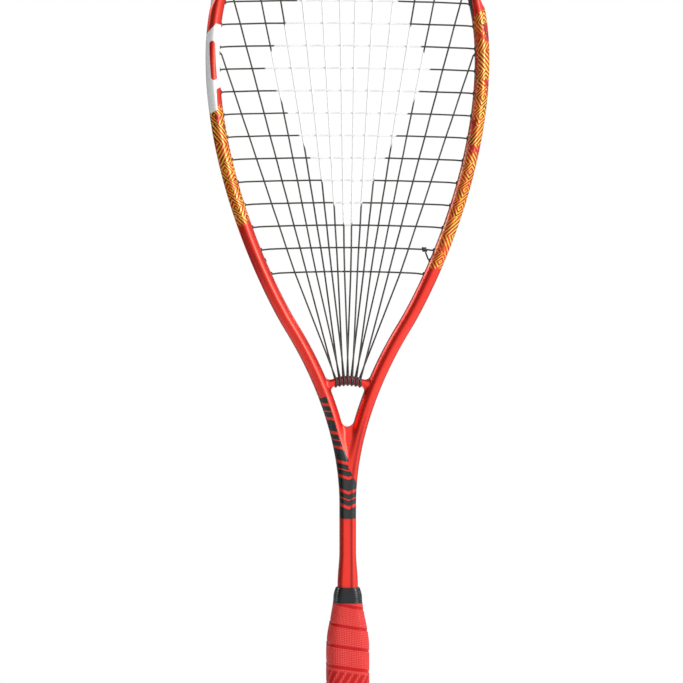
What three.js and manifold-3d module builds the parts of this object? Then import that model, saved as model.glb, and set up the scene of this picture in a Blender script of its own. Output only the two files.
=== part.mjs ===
// Squash racket: one hairpin carbon tube with a throat bridge and shaft, strung with
// fanned mains looped round the bridge, a bumper, grommet strips and a wrapped handle.
// Millimetres. +Z runs from the butt to the head, +X across the face, -Y is the front.
// The origin is the centre of the butt's end face.
import * as THREE from 'three';
import { mergeVertices } from 'three/addons/utils/BufferGeometryUtils.js';
import Module from 'manifold-3d';

const wasm = await Module();
wasm.setup();

// ---- Driving dimensions -------------------------------------------------------------

const FIT_GAP = 0.3;

// Head: the tube's centreline is a superellipse above the widest point.
const HEAD_WIDEST_Z = 553.7;
const HEAD_HALF_WIDTH = 96.0;
const HEAD_RISE = 126.9;
const HEAD_EXPONENT = 2.1;
const CROWN_STEPS = 20;

// Flank and throat: two Bezier curves that share one tangent at the flex point.
const FLANK_PULL = new THREE.Vector2(96.0, 482.0);
const FLANK_AIM = new THREE.Vector2(66.1, 408.3);
const FLEX = new THREE.Vector2(43.2, 368.1);
const THROAT_AIM = new THREE.Vector2(38.1, 359.1);
const THROAT_PULL = new THREE.Vector2(0.8, 304.9);
const THROAT_END = new THREE.Vector2(0.8, 236.3);
const FLANK_STEPS = 10;
const THROAT_STEPS = 12;

// Tube section: u is outwards in the plane of the face, y is through its depth.
const TUBE_HALF_WIDTH = 4.8;
const TUBE_HALF_DEPTH = 9.0;
const TUBE_FLAT = 4.5;
const TUBE_EDGE = 1.2;
const TUBE_WALL = 1.2;
const GROOVE_HALF_WIDTH = 2.3;
const GROOVE_FLOOR = 2.4;
const GROOVE_END_Z = 392;
const ARM_DEPTH_SCALE = 1.055;
const ARM_DEPTH_FADE = 55;
const SHAFT_DEPTH_SCALE = 0.92;
const SHAFT_DEPTH_TOP_Z = 330;
const SHAFT_DEPTH_FADE = 80;

// Levels along the axis.
const ARM_END_Z = 297;
const THROAT_WEB_Z = 292.3;
const THROAT_WEB_RADIUS = 6;
const SHAFT_BLEND_Z = 250;
const SHAFT_BOTTOM_Z = 8;
const BUMPER_END_Z = 590;
const BRIDGE_TOP_Z = 328.2;
const BRIDGE_THICKNESS = 6.2;
const BRIDGE_SAG = 3.2;
const BRIDGE_HALF_DEPTH = 7.0;
const SLEEVE_WALL = 0.7;
const SLEEVE_HALF_LENGTH = 9.4;
const BRIDGE_REACH = 18;
const BRIDGE_EXPONENT = 2.6;
const COLLAR_BOTTOM_Z = 167.7;
const COLLAR_TOP_Z = 178.3;
const COLLAR_TRAVEL_MARGIN = 0.2;
const SHAFT_HALF_WIDTH = 5.55;
const SHAFT_FOOT_HALF_WIDTH = 6.9;

// Strings.
const STRING_RADIUS = 0.6;
const STRING_SIDES = 4;
const GROOVE_STRING = 4.1;
const GROOVE_LANE = 1.25;
const CROSSING_DEPTH = 1.34;
const CROSS_FIRST_Z = 401.5;
const CROSS_FIRST_PITCH = 17.0;
const CROSS_PITCH = 15.95;
const CROSS_COUNT = 16;
const CROSS_BOW = 1.8;
const MAIN_SLOPES = [0.0155, 0.0557, 0.1027, 0.1527];
const MAIN_AT_FIRST_CROSS = [2.2, 6.7, 11.0, 15.9, 21.9, 28.4, 36.6];
const LOOP_PITCH = 2.84;
const OUTER_MAIN_HOLE_DROP = 4.2;
const WEAVE_LIMIT = 1.7;
const KNOT_RADIUS = 1.7;
const KNOT_BORE = 0.95;
const KNOT_CLEARANCE = 0.75;
// A string turns into the groove in a short bevel, then moves over to its lane.
const TURN_BEVEL = 0.55;
const LANE_LEAD = 2.2;
// Extra holes above the first and the thirteenth cross hole, for the string's ends.
const LOWER_TIE_RISE = 8;
const OUTER_TIE_ROW = 12;
const OUTER_TIE_RISE = 5.5;
// The outer mains leave just below these cross rows.
const OUTER_MAIN_ROWS = new Map([[4, 15], [5, 13], [6, 10]]);

// Grommets.
const HOLE_SIDES = 5;
const BARREL_BORE = 0.92;
const BARREL_RADIUS = 1.4;
const FRAME_HOLE_RADIUS = 1.72;
const BARREL_INNER_END = -5.5;
const STRIP_HALF_WIDTH = 2.0;
const STRIP_FLOOR = 2.7;
const STRIP_TOP = 3.4;

// Bumper guard.
const BUMPER_SEAT = 2.4;
const BUMPER_TOP = 5.4;
const BUMPER_HALF_WIDTH = 7.0;
const BUMPER_CHANNEL = 2.1;

// ---- Small helpers ------------------------------------------------------------------

function solid(geometry) {
  const bare = geometry.clone();
  bare.deleteAttribute('normal');
  bare.deleteAttribute('uv');
  const welded = mergeVertices(bare, 1e-4);
  return new wasm.Manifold(new wasm.Mesh({
    numProp: 3,
    vertProperties: new Float32Array(welded.attributes.position.array),
    triVerts: new Uint32Array(welded.index.array),
  }));
}

function geometryOf(body) {
  const mesh = body.getMesh();
  const geometry = new THREE.BufferGeometry();
  geometry.setAttribute('position', new THREE.BufferAttribute(mesh.vertProperties, 3));
  geometry.setIndex(new THREE.BufferAttribute(mesh.triVerts, 1));
  return geometry;
}

function piece(name, body, material) {
  const mesh = new THREE.Mesh(geometryOf(body), material);
  mesh.name = name;
  return mesh;
}

function plane(x, z, y = 0) {
  return new THREE.Vector3(x, y, z);
}

function mirrored(points) {
  return points.map((p) => plane(-p.x, p.z, p.y));
}

// A path through chosen points, with the bisecting direction at each bend.
class Route extends THREE.Curve {
  constructor(points) {
    super();
    this.points = points;
  }

  getPoint(t, target = new THREE.Vector3()) {
    return target.copy(this.points[Math.round(t * (this.points.length - 1))]);
  }

  getTangent(t, target = new THREE.Vector3()) {
    const last = this.points.length - 1;
    const i = Math.round(t * last);
    const here = this.points[i];
    const before = this.points[Math.max(i - 1, 0)];
    const after = this.points[Math.min(i + 1, last)];
    const arriving = here.clone().sub(before).normalize();
    const leaving = after.clone().sub(here).normalize();
    return target.copy(arriving).add(leaving).normalize();
  }

  getPointAt(u, target) {
    return this.getPoint(u, target);
  }

  getTangentAt(u, target) {
    return this.getTangent(u, target);
  }
}

// Sweeps a section of [y, u] corners along a path; u points outwards from the head.
function sweep(section, points) {
  const shape = new THREE.Shape(section.map(([y, u]) => new THREE.Vector2(-y, u)));
  return new THREE.ExtrudeGeometry(shape, {
    steps: points.length - 1,
    extrudePath: new Route(points),
    bevelEnabled: false,
  });
}

function polygon(sides, radius) {
  const corners = [];
  for (let i = 0; i < sides; i += 1) {
    const angle = (2 * Math.PI * i) / sides;
    corners.push([radius * Math.cos(angle), radius * Math.sin(angle)]);
  }
  return corners;
}

function rectangle(halfDepth, low, high) {
  return [[-halfDepth, low], [halfDepth, low], [halfDepth, high], [-halfDepth, high]];
}

function box(xLow, xHigh, yLow, yHigh, zLow, zHigh) {
  const geometry = new THREE.BoxGeometry(xHigh - xLow, yHigh - yLow, zHigh - zLow);
  geometry.translate((xLow + xHigh) / 2, (yLow + yHigh) / 2, (zLow + zHigh) / 2);
  return solid(geometry);
}

// Lofts a unit section up the Z axis through levels of { z, w, d } half sizes.
function loft(section, levels) {
  const shape = new THREE.Shape(section.map(([x, y]) => new THREE.Vector2(x, y)));
  const geometry = new THREE.ExtrudeGeometry(shape, {
    steps: levels.length - 1,
    depth: levels.length - 1,
    bevelEnabled: false,
  });
  const position = geometry.attributes.position;
  for (let i = 0; i < position.count; i += 1) {
    const level = levels[Math.round(position.getZ(i))];
    position.setXYZ(i, position.getX(i) * level.w, position.getY(i) * level.d, level.z);
  }
  return solid(geometry);
}

function softOctagon(sides, exponent) {
  const corners = [];
  for (let i = 0; i < sides; i += 1) {
    const angle = (2 * Math.PI * (i + 0.5)) / sides;
    const c = Math.cos(angle);
    const s = Math.sin(angle);
    const radius = (Math.abs(c) ** exponent + Math.abs(s) ** exponent) ** (-1 / exponent);
    corners.push([radius * c, radius * s]);
  }
  return corners;
}

// ---- Frame centreline ---------------------------------------------------------------

function superellipse(angle) {
  const power = 2 / HEAD_EXPONENT;
  const x = HEAD_HALF_WIDTH * Math.sin(angle) ** power;
  const z = HEAD_WIDEST_Z + HEAD_RISE * Math.cos(angle) ** power;
  return plane(x, z);
}

function bezierPoints(a, b, c, d, steps) {
  const curve = new THREE.CubicBezierCurve(a, b, c, d);
  return curve.getPoints(steps).map((p) => plane(p.x, p.y));
}

// Right half of the centreline from the top of the head down to the shaft.
function halfLine(detail) {
  const points = [];
  for (let i = 0; i < CROWN_STEPS * detail; i += 1) {
    points.push(superellipse((Math.PI / 2) * (i / (CROWN_STEPS * detail))));
  }
  const widest = new THREE.Vector2(HEAD_HALF_WIDTH, HEAD_WIDEST_Z);
  const flank = bezierPoints(widest, FLANK_PULL, FLANK_AIM, FLEX, FLANK_STEPS * detail);
  const throat = bezierPoints(FLEX, THROAT_AIM, THROAT_PULL, THROAT_END, THROAT_STEPS * detail);
  points.push(...flank.slice(0, -1), ...throat);
  return points;
}

// Both halves, up the right arm, over the head and down the left arm.
function hairpin(half) {
  return [...half.slice(1).reverse(), ...mirrored(half)];
}

function outward(points, i) {
  const before = points[Math.max(i - 1, 0)];
  const after = points[Math.min(i + 1, points.length - 1)];
  return plane(-(after.z - before.z), after.x - before.x).normalize();
}

const COARSE = halfLine(1);
const FINE = halfLine(8);
const FINE_OUT = FINE.map((p, i) => outward(FINE, i));

function railPoint(index, offset) {
  const low = Math.floor(index);
  const high = Math.min(low + 1, FINE.length - 1);
  const here = FINE[low].clone().addScaledVector(FINE_OUT[low], offset);
  const next = FINE[high].clone().addScaledVector(FINE_OUT[high], offset);
  return here.lerp(next, index - low);
}

// Where a line in the face plane meets the right rail, as a fractional rail index.
function meetRail(origin, direction, offset) {
  for (let i = 0; i < FINE.length - 1; i += 1) {
    const a = railPoint(i, offset);
    const b = railPoint(i + 1, offset);
    const edge = b.clone().sub(a);
    const gap = a.clone().sub(origin);
    const det = edge.x * direction.z - edge.z * direction.x;
    const along = (edge.x * gap.z - edge.z * gap.x) / det;
    const share = (direction.x * gap.z - direction.z * gap.x) / det;
    if (along > 0 && share >= 0 && share <= 1) {
      return i + share;
    }
  }
  throw new Error('the line misses the rail');
}

function railIndexAtZ(z) {
  return meetRail(plane(0, z), plane(1, 0), 0);
}

// Coarse rail points between two fractional indexes of the fine rail.
function railStretch(from, to, step) {
  const indexes = [from];
  for (let i = Math.ceil(from / step + 0.3) * step; i < to - 0.3 * step; i += step) {
    indexes.push(i);
  }
  indexes.push(to);
  return indexes.map((index) => railPoint(index, 0));
}

// ---- Frame --------------------------------------------------------------------------

function tubeSection(grow) {
  const w = TUBE_HALF_WIDTH + grow;
  const d = TUBE_HALF_DEPTH + grow;
  return [
    [-d, -TUBE_EDGE], [-TUBE_FLAT, -w], [TUBE_FLAT, -w], [d, -TUBE_EDGE],
    [d, TUBE_EDGE], [TUBE_FLAT, w], [-TUBE_FLAT, w], [-d, TUBE_EDGE],
  ];
}

function boreSection() {
  const top = GROOVE_FLOOR - TUBE_WALL;
  const low = -(TUBE_HALF_WIDTH - TUBE_WALL);
  const deep = TUBE_HALF_DEPTH - 2 * TUBE_WALL;
  return [[-deep, -TUBE_EDGE], [-TUBE_FLAT, low], [TUBE_FLAT, low], [deep, -TUBE_EDGE],
    [deep - TUBE_WALL, top], [TUBE_WALL - deep, top]];
}

function smooth(t) {
  const s = Math.min(Math.max(t, 0), 1);
  return s * s * (3 - 2 * s);
}

function depthScale(z) {
  const arm = smooth((GROOVE_END_Z - z) / ARM_DEPTH_FADE);
  const shaft = smooth((SHAFT_DEPTH_TOP_Z - z) / SHAFT_DEPTH_FADE);
  const scale = 1 + (ARM_DEPTH_SCALE - 1) * arm;
  return scale + (SHAFT_DEPTH_SCALE - scale) * shaft;
}

function shapeDepth(body) {
  return body.warp((v) => {
    v[1] *= depthScale(v[2]);
  });
}

// Right-hand leg of the hairpin, without its groove.
function leg(grow) {
  const points = COARSE.slice(-(THROAT_STEPS + 4)).reverse();
  return solid(sweep(tubeSection(grow), points));
}

function bothSides(body) {
  return body.add(body.mirror([1, 0, 0]));
}

const BELOW_ARMS = box(-60, 60, -30, 30, 200, ARM_END_Z);

function headHoop(holes) {
  const path = hairpin(COARSE);
  const groovePath = hairpin(railStretch(0, railIndexAtZ(GROOVE_END_Z), 8));
  const bumperPath = hairpin(railStretch(0, railIndexAtZ(BUMPER_END_Z), 8));
  const seat = rectangle(TUBE_HALF_DEPTH + 1, BUMPER_SEAT, TUBE_HALF_WIDTH + 1);
  const groove = rectangle(GROOVE_HALF_WIDTH, GROOVE_FLOOR, TUBE_HALF_WIDTH + 1);
  const body = solid(sweep(tubeSection(0), path))
    .subtract(solid(sweep(boreSection(), path)))
    .subtract(solid(sweep(groove, groovePath)))
    .subtract(solid(sweep(seat, bumperPath)))
    .subtract(BELOW_ARMS)
    .subtract(holes);
  return shapeDepth(body);
}

function shaftTube() {
  const legs = bothSides(leg(0)).intersect(box(-60, 60, -30, 30, 236, ARM_END_Z - FIT_GAP));
  const webTop = THROAT_WEB_Z;
  const web = new THREE.Shape();
  web.moveTo(-10, 240);
  web.lineTo(10, 240);
  web.lineTo(10, webTop + THROAT_WEB_RADIUS);
  web.lineTo(THROAT_WEB_RADIUS, webTop + THROAT_WEB_RADIUS);
  web.absarc(0, webTop + THROAT_WEB_RADIUS, THROAT_WEB_RADIUS, 0, -Math.PI, true);
  web.lineTo(-10, webTop + THROAT_WEB_RADIUS);
  const webDepth = 2 * TUBE_HALF_DEPTH - 2;
  const slab = new THREE.ExtrudeGeometry(web, {
    depth: webDepth, steps: 1, bevelEnabled: false, curveSegments: 5,
  });
  slab.rotateX(Math.PI / 2);
  slab.translate(0, webDepth / 2, 0);
  const throat = solid(slab).intersect(insideArms());
  const flare = [
    { z: SHAFT_BOTTOM_Z, w: SHAFT_FOOT_HALF_WIDTH }, { z: 180, w: SHAFT_FOOT_HALF_WIDTH },
    { z: 188, w: 6.7 }, { z: 196, w: 5.9 },
    { z: 204, w: SHAFT_HALF_WIDTH }, { z: SHAFT_BLEND_Z, w: SHAFT_HALF_WIDTH },
  ];
  const levels = flare.map((level) => ({ ...level, d: TUBE_HALF_DEPTH }));
  const outline = [[-1, -0.52], [-0.6, -0.97], [0.6, -0.97], [1, -0.52],
    [1, 0.52], [0.6, 0.97], [-0.6, 0.97], [-1, 0.52]];
  const barLevels = levels.map((level) => ({
    z: level.z, w: level.w - 1.6, d: level.d - 1.8,
  }));
  barLevels[0].z -= 1;
  const bore = loft(outline, barLevels);
  const body = legs.add(throat).add(loft(outline, levels)).subtract(bore);
  return shapeDepth(body);
}

// The space between the outer faces of the two arms, in the throat.
function insideArms() {
  const right = COARSE.slice(-(THROAT_STEPS + 2)).reverse();
  const corners = [...right, ...mirrored(right).reverse()];
  const shape = new THREE.Shape(corners.map((p) => new THREE.Vector2(p.x, p.z)));
  const slab = new THREE.ExtrudeGeometry(shape, { depth: 40, steps: 1, bevelEnabled: false });
  slab.rotateX(Math.PI / 2);
  slab.translate(0, 20, 0);
  return solid(slab).intersect(box(-60, 60, -30, 30, 236, ARM_END_Z - FIT_GAP));
}

function bridgeCentreZ(x) {
  return BRIDGE_TOP_Z - BRIDGE_THICKNESS / 2 - BRIDGE_SAG * (x / 14) ** 2;
}

function bridgeBar(halfThickness, halfDepth, halfLength, steps) {
  const points = [];
  for (let i = 0; i <= steps; i += 1) {
    const x = halfLength * (1 - (2 * i) / steps);
    points.push(plane(x, bridgeCentreZ(x)));
  }
  const section = softOctagon(12, BRIDGE_EXPONENT)
    .map(([a, b]) => [a * halfDepth, b * halfThickness]);
  return solid(sweep(section, points));
}

function throatBridge() {
  const core = SLEEVE_WALL + FIT_GAP;
  const bar = bridgeBar(BRIDGE_THICKNESS / 2 - core, BRIDGE_HALF_DEPTH - core, 12, 8);
  const half = BRIDGE_THICKNESS / 2 + 0.6;
  const cut = SLEEVE_HALF_LENGTH + FIT_GAP;
  const ends = bridgeBar(half, BRIDGE_HALF_DEPTH + 0.6, BRIDGE_REACH, 12)
    .subtract(box(-cut, cut, -20, 20, 300, 340));
  return bar.add(ends).subtract(shapeDepth(bothSides(leg(FIT_GAP))));
}

function bridgeSleeve() {
  const half = SLEEVE_HALF_LENGTH;
  const outer = bridgeBar(BRIDGE_THICKNESS / 2, BRIDGE_HALF_DEPTH, 12, 8);
  const inner = bridgeBar(
    BRIDGE_THICKNESS / 2 - SLEEVE_WALL, BRIDGE_HALF_DEPTH - SLEEVE_WALL, 12.1, 8,
  );
  return outer.subtract(inner).intersect(box(-half, half, -20, 20, 300, 340));
}

// ---- String layout ------------------------------------------------------------------

function crossLevel(row) {
  const above = Math.max(row - 1, 0) * CROSS_PITCH;
  return CROSS_FIRST_Z + (row > 0 ? CROSS_FIRST_PITCH : 0) + above;
}

function crossZ(row, x, half) {
  return crossLevel(row) + CROSS_BOW * (0.5 - (x / half) ** 2);
}

// One strung hole in the right rail: rail index, place and direction through the frame.
function holeAt(index, direction) {
  return { index, place: railPoint(index, 0), direction: direction.clone().normalize() };
}

function crossHole(row) {
  const z = crossLevel(row) - CROSS_BOW / 2;
  return holeAt(meetRail(plane(0, z), plane(1, 0), 0), plane(1, 0));
}

function mainHole(index) {
  if (OUTER_MAIN_ROWS.has(index)) {
    const z = crossHole(OUTER_MAIN_ROWS.get(index)).place.z - OUTER_MAIN_HOLE_DROP;
    const rail = railIndexAtZ(z);
    return holeAt(rail, outward(FINE, Math.round(rail)));
  }
  const start = plane(MAIN_AT_FIRST_CROSS[index], CROSS_FIRST_Z);
  const along = plane(MAIN_SLOPES[index], 1).normalize();
  return holeAt(meetRail(start, along, -TUBE_HALF_WIDTH), along);
}

// Extra holes that the two string ends come back through.
function tieHole(hole, rise) {
  const rail = railIndexAtZ(hole.place.z + rise);
  return holeAt(rail, outward(FINE, Math.round(rail)));
}

const CROSS_HOLES = [...Array(CROSS_COUNT).keys()].map(crossHole);
const MAIN_HOLES = MAIN_AT_FIRST_CROSS.map((x, i) => mainHole(i));
const LOWER_TIE = tieHole(CROSS_HOLES[0], LOWER_TIE_RISE);
const OUTER_TIE = tieHole(CROSS_HOLES[OUTER_TIE_ROW], OUTER_TIE_RISE);

function offsetAlong(hole, offset) {
  const out = outward(FINE, Math.round(hole.index));
  const share = offset / out.dot(hole.direction);
  return hole.place.clone().addScaledVector(hole.direction, share);
}

function holeRod(hole, radius, from, to) {
  const ends = [offsetAlong(hole, from), offsetAlong(hole, to)];
  return solid(sweep(polygon(HOLE_SIDES, radius), ends));
}

function rods(holes, radius, from, to) {
  const bodies = holes.map((hole) => holeRod(hole, radius, from, to));
  return wasm.Manifold.union(bodies);
}

function isUnderBumper(hole) {
  return hole.place.z > BUMPER_END_Z;
}

const RIGHT_HOLES = [...CROSS_HOLES, ...MAIN_HOLES, LOWER_TIE, OUTER_TIE];

// ---- Grommet strips and bumper ------------------------------------------------------

function strip() {
  const from = railIndexAtZ(BUMPER_END_Z) + 2;
  const to = railIndexAtZ(GROOVE_END_Z) - 2;
  const holes = RIGHT_HOLES.filter((hole) => !isUnderBumper(hole));
  const path = railStretch(from, to, 8).reverse();
  const band = solid(sweep(rectangle(STRIP_HALF_WIDTH, STRIP_FLOOR, STRIP_TOP), path));
  return band
    .add(rods(holes, BARREL_RADIUS, BARREL_INNER_END, STRIP_FLOOR + 0.2))
    .subtract(rods(holes, BARREL_BORE, BARREL_INNER_END - 1, STRIP_TOP + 1));
}

function bumperGuard() {
  const holes = RIGHT_HOLES.filter(isUnderBumper);
  const side = BUMPER_HALF_WIDTH;
  const section = [
    [-side, STRIP_FLOOR], [side, STRIP_FLOOR], [side, STRIP_TOP],
    [side - 1.4, BUMPER_TOP], [BUMPER_CHANNEL, BUMPER_TOP],
    [BUMPER_CHANNEL, STRIP_TOP], [-BUMPER_CHANNEL, STRIP_TOP],
    [-BUMPER_CHANNEL, BUMPER_TOP], [1.4 - side, BUMPER_TOP], [-side, STRIP_TOP],
  ];
  const end = railIndexAtZ(BUMPER_END_Z) - 0.3;
  const guard = solid(sweep(section, hairpin(railStretch(0, end, 8))));
  const barrels = bothSides(rods(holes, BARREL_RADIUS, BARREL_INNER_END, STRIP_FLOOR + 0.2));
  const bores = bothSides(rods(holes, BARREL_BORE, BARREL_INNER_END - 1, STRIP_TOP + 0.5));
  return guard.add(barrels).subtract(bores);
}

// ---- Strings ------------------------------------------------------------------------

// From inside the head out through a hole, turning at the top of the grommet strip.
function through(hole, towards, lane) {
  const corner = offsetAlong(hole, GROOVE_STRING);
  const before = corner.clone().addScaledVector(hole.direction, -TURN_BEVEL);
  const ahead = railPoint(hole.index + Math.sign(towards), GROOVE_STRING);
  const turn = ahead.sub(railPoint(hole.index, GROOVE_STRING)).normalize();
  const after = corner.clone().addScaledVector(turn, TURN_BEVEL);
  const beside = corner.clone().addScaledVector(turn, LANE_LEAD).add(plane(0, 0, lane));
  after.y = lane / 3;
  return [insideEnd(hole), before, after, beside];
}

function insideEnd(hole) {
  return offsetAlong(hole, BARREL_INNER_END - 0.6);
}

// Along the outer groove between two holes, in order of travel, to one side of it.
function grooveRun(from, to, lane) {
  const towards = Math.sign(to.index - from.index);
  const points = [];
  const steps = Math.max(Math.round(Math.abs(to.index - from.index) / 5), 1);
  for (let i = 1; i < steps; i += 1) {
    const index = from.index + ((to.index - from.index) * i) / steps;
    points.push(railPoint(index, GROOVE_STRING).add(plane(0, 0, lane)));
  }
  return [...through(from, towards, lane), ...points,
    ...through(to, -towards, lane).reverse()];
}

// A main's stretch from the bridge up to the kink at its hole, in the right half.
function mainFoot(index) {
  return plane(MAIN_AT_FIRST_CROSS[index], CROSS_FIRST_Z - 3);
}

// Where a main crosses a level, and whether it still runs inside the head there.
function mainX(index, z) {
  const foot = mainFoot(index);
  const top = insideEnd(MAIN_HOLES[index]);
  return foot.x + ((top.x - foot.x) * (z - foot.z)) / (top.z - foot.z);
}

function mainReaches(index, z) {
  return z < insideEnd(MAIN_HOLES[index]).z;
}

// One turn round the bridge, from the front string down and up the back.
function bridgeLoop(x) {
  const gap = STRING_RADIUS + 0.25;
  const depth = BRIDGE_HALF_DEPTH + gap;
  const low = bridgeCentreZ(x) - BRIDGE_THICKNESS / 2 - gap;
  const high = bridgeCentreZ(x) + 1;
  return [
    plane(x, high, -depth), plane(x, low + 2, -depth), plane(x, low, 2 - depth),
    plane(x, low, depth - 2), plane(x, low + 2, depth), plane(x, high, depth),
  ];
}

function mainPath() {
  const last = MAIN_HOLES.length - 1;
  const right = [];
  // The right half starts from the centre loop and works outwards.
  right.push(mainFoot(0), ...grooveRun(MAIN_HOLES[0], MAIN_HOLES[1], GROOVE_LANE));
  for (let i = 1; i < last; i += 2) {
    const loop = bridgeLoop(LOOP_PITCH * ((i + 1) / 2));
    right.push(mainFoot(i), ...loop, mainFoot(i + 1));
    if (i + 1 < last) {
      right.push(...grooveRun(MAIN_HOLES[i + 1], MAIN_HOLES[i + 2], GROOVE_LANE));
    }
  }
  right.push(...grooveRun(MAIN_HOLES[last], OUTER_TIE, GROOVE_LANE));
  right.push(tailEnd(insideEnd(OUTER_TIE), mainKnotPlace()));
  const left = mirrored(right).reverse();
  // Turned half a turn about the axis, so every front string lies on the same side.
  const leftBack = left.map((p) => plane(p.x, p.z, -p.y));
  return [...leftBack, ...bridgeLoop(0), ...right];
}

// Crossings of one cross row with the mains, from left to right.
function weave(row) {
  const half = CROSS_HOLES[row].place.x;
  const level = crossLevel(row);
  const reached = [...MAIN_HOLES.keys()].filter((i) => mainReaches(i, level));
  const right = reached.map((i) => mainX(i, level));
  const places = [...right.map((x) => -x).reverse(), ...right];
  return places.map((x, i) => {
    const near = Math.min(x - (places[i - 1] ?? -1e3), (places[i + 1] ?? 1e3) - x);
    const rise = (CROSSING_DEPTH * near) / Math.sqrt(near ** 2 - 4 * CROSSING_DEPTH ** 2);
    const over = (i + row + reached.length) % 2 === 0 ? 1 : -1;
    return plane(x, crossZ(row, x, half), over * Math.min(rise, WEAVE_LIMIT));
  });
}

function crossPath() {
  const points = [];
  for (let row = CROSS_COUNT - 1; row >= 0; row -= 1) {
    const side = row % 2 === 0 ? 1 : -1;
    const next = row > 0 ? CROSS_HOLES[row - 1] : LOWER_TIE;
    const turn = grooveRun(CROSS_HOLES[row], next, -side * GROOVE_LANE);
    points.push(...(side > 0 ? weave(row) : weave(row).reverse()));
    points.push(...(side > 0 ? turn : mirrored(turn)));
  }
  points.push(tailEnd(insideEnd(LOWER_TIE), crossKnotPlace()));
  return points;
}

function string(points) {
  return solid(sweep(polygon(STRING_SIDES, STRING_RADIUS), points));
}

// ---- Handle -------------------------------------------------------------------------

const HANDLE_SECTION = softOctagon(16, 3.2);
const COLLAR_BORE = softOctagon(16, 5);
const INNER_SHAFT = { w: 7.2, d: 8.7 };

// A hollow loft; its bore runs a little past both ends.
function sleeve(levels, inner, innerSection = HANDLE_SECTION) {
  const bore = inner.map((level) => ({ ...level }));
  bore[0].z -= 1;
  bore.at(-1).z += 1;
  return loft(HANDLE_SECTION, levels).subtract(loft(innerSection, bore));
}

const PALLET_LEVELS = [
  { z: 5, w: 13.4, d: 12.4 }, { z: 20, w: 13.4, d: 12.4 }, { z: 138, w: 13.4, d: 12.4 },
  { z: 156, w: 10.4, d: 10.9 }, { z: 167, w: 8.5, d: 9.9 }, { z: 176, w: 8.1, d: 9.5 },
];

function pallet(side) {
  const bore = [{ z: 4, ...INNER_SHAFT }, { z: 178, ...INNER_SHAFT }];
  const half = side > 0 ? box(0.15, 40, -40, 40, 0, 200) : box(-40, -0.15, -40, 40, 0, 200);
  const shell = loft(HANDLE_SECTION, PALLET_LEVELS).subtract(loft(rectangle(1, -1, 1), bore));
  const capRoom = box(-40, 40, -40, 40, 0, 24).subtract(
    loft(HANDLE_SECTION, [{ z: -2, w: 12.1, d: 11.1 }, { z: 30, w: 12.1, d: 11.1 }]),
  );
  const stapleRoom = box(-5, 5, 9.6, 20, 12, 17).add(box(-5, 5, -20, -9.6, 12, 17));
  return shell.subtract(capRoom).intersect(half).subtract(stapleRoom);
}

function buttCap() {
  const outer = [
    { z: 0, w: 15.2, d: 14.0 }, { z: 2.4, w: 16.2, d: 15.0 }, { z: 4.2, w: 16.2, d: 15.0 },
    { z: 4.6, w: 13.6, d: 12.6 }, { z: 23.6, w: 13.6, d: 12.6 },
  ];
  const inner = [{ z: 4.6, w: 12.4, d: 11.4 }, { z: 24, w: 12.4, d: 11.4 }];
  const cup = loft(HANDLE_SECTION, outer);
  const hollow = loft(HANDLE_SECTION, [{ ...inner[0], z: 3.4 }, { ...inner[1], z: 25 }]);
  const slots = box(-4, 4, -20, 20, 13.2, 15.8);
  return cup.subtract(hollow).subtract(slots);
}

function gripTape() {
  const outer = [
    { z: 4.9, w: 16.4, d: 15.2 }, { z: 12, w: 16.1, d: 14.9 }, { z: 28, w: 15.25, d: 14.1 },
    { z: 140, w: 15.2, d: 14.1 }, { z: 150, w: 13.6, d: 13.2 }, { z: 158, w: 11.8, d: 12.2 },
    { z: COLLAR_BOTTOM_Z - FIT_GAP, w: 10.3, d: 11.3 },
  ];
  const inner = [
    { z: 4, w: 13.9, d: 12.9 }, { z: 140, w: 13.8, d: 12.8 },
    { z: 156, w: 10.9, d: 11.3 }, { z: 168.4, w: 8.9, d: 10.2 },
  ];
  return sleeve(outer, inner);
}

function finishingTape() {
  return sleeve(
    [{ z: 168.2, w: 8.95, d: 10.3 }, { z: 175.4, w: 8.65, d: 10.0 }],
    [{ z: 168.2, w: 8.62, d: 10.0 }, { z: 175.4, w: 8.3, d: 9.7 }],
  );
}

function rubberCollar() {
  const outer = [
    { z: COLLAR_BOTTOM_Z, w: 10.2, d: 11.8 }, { z: 172.5, w: 9.95, d: 11.5 },
    { z: 174.6, w: 9.4, d: 11.0 }, { z: COLLAR_TOP_Z, w: 8.2, d: 9.9 },
  ];
  const inner = [
    { z: COLLAR_BOTTOM_Z, w: 9.25, d: 10.7 }, { z: 175.8, w: 9.0, d: 10.35 },
    { z: 177.0, w: SHAFT_FOOT_HALF_WIDTH + COLLAR_TRAVEL_MARGIN, d: 8.75 },
    { z: COLLAR_TOP_Z, w: SHAFT_FOOT_HALF_WIDTH + COLLAR_TRAVEL_MARGIN, d: 8.75 },
  ];
  return sleeve(outer, inner, COLLAR_BORE);
}

function staple(front) {
  const sign = front ? -1 : 1;
  const legs = box(-3.4, -2.6, 9.9, 13.2, 14, 15).add(box(2.6, 3.4, 9.9, 13.2, 14, 15));
  const crown = box(-3.4, 3.4, 12.45, 12.78, 14, 15);
  const body = legs.intersect(box(-5, 5, 9.9, 12.78, 14, 15)).add(crown);
  return sign > 0 ? body : body.mirror([0, 1, 0]);
}

// ---- Knots --------------------------------------------------------------------------

// The cross string's lower end is tied to the row above, the outer mains' to the next main.
function crossKnotPlace() {
  return weave(1).at(-1).lerp(insideEnd(CROSS_HOLES[1]), 0.68);
}

function mainKnotPlace() {
  return mainFoot(5).lerp(insideEnd(MAIN_HOLES[5]), 0.975);
}

// A string end stops just short of the knot that it makes.
function tailEnd(from, knotPlace) {
  const back = from.clone().sub(knotPlace).normalize();
  return knotPlace.clone().addScaledVector(back, KNOT_RADIUS + KNOT_CLEARANCE);
}

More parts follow.
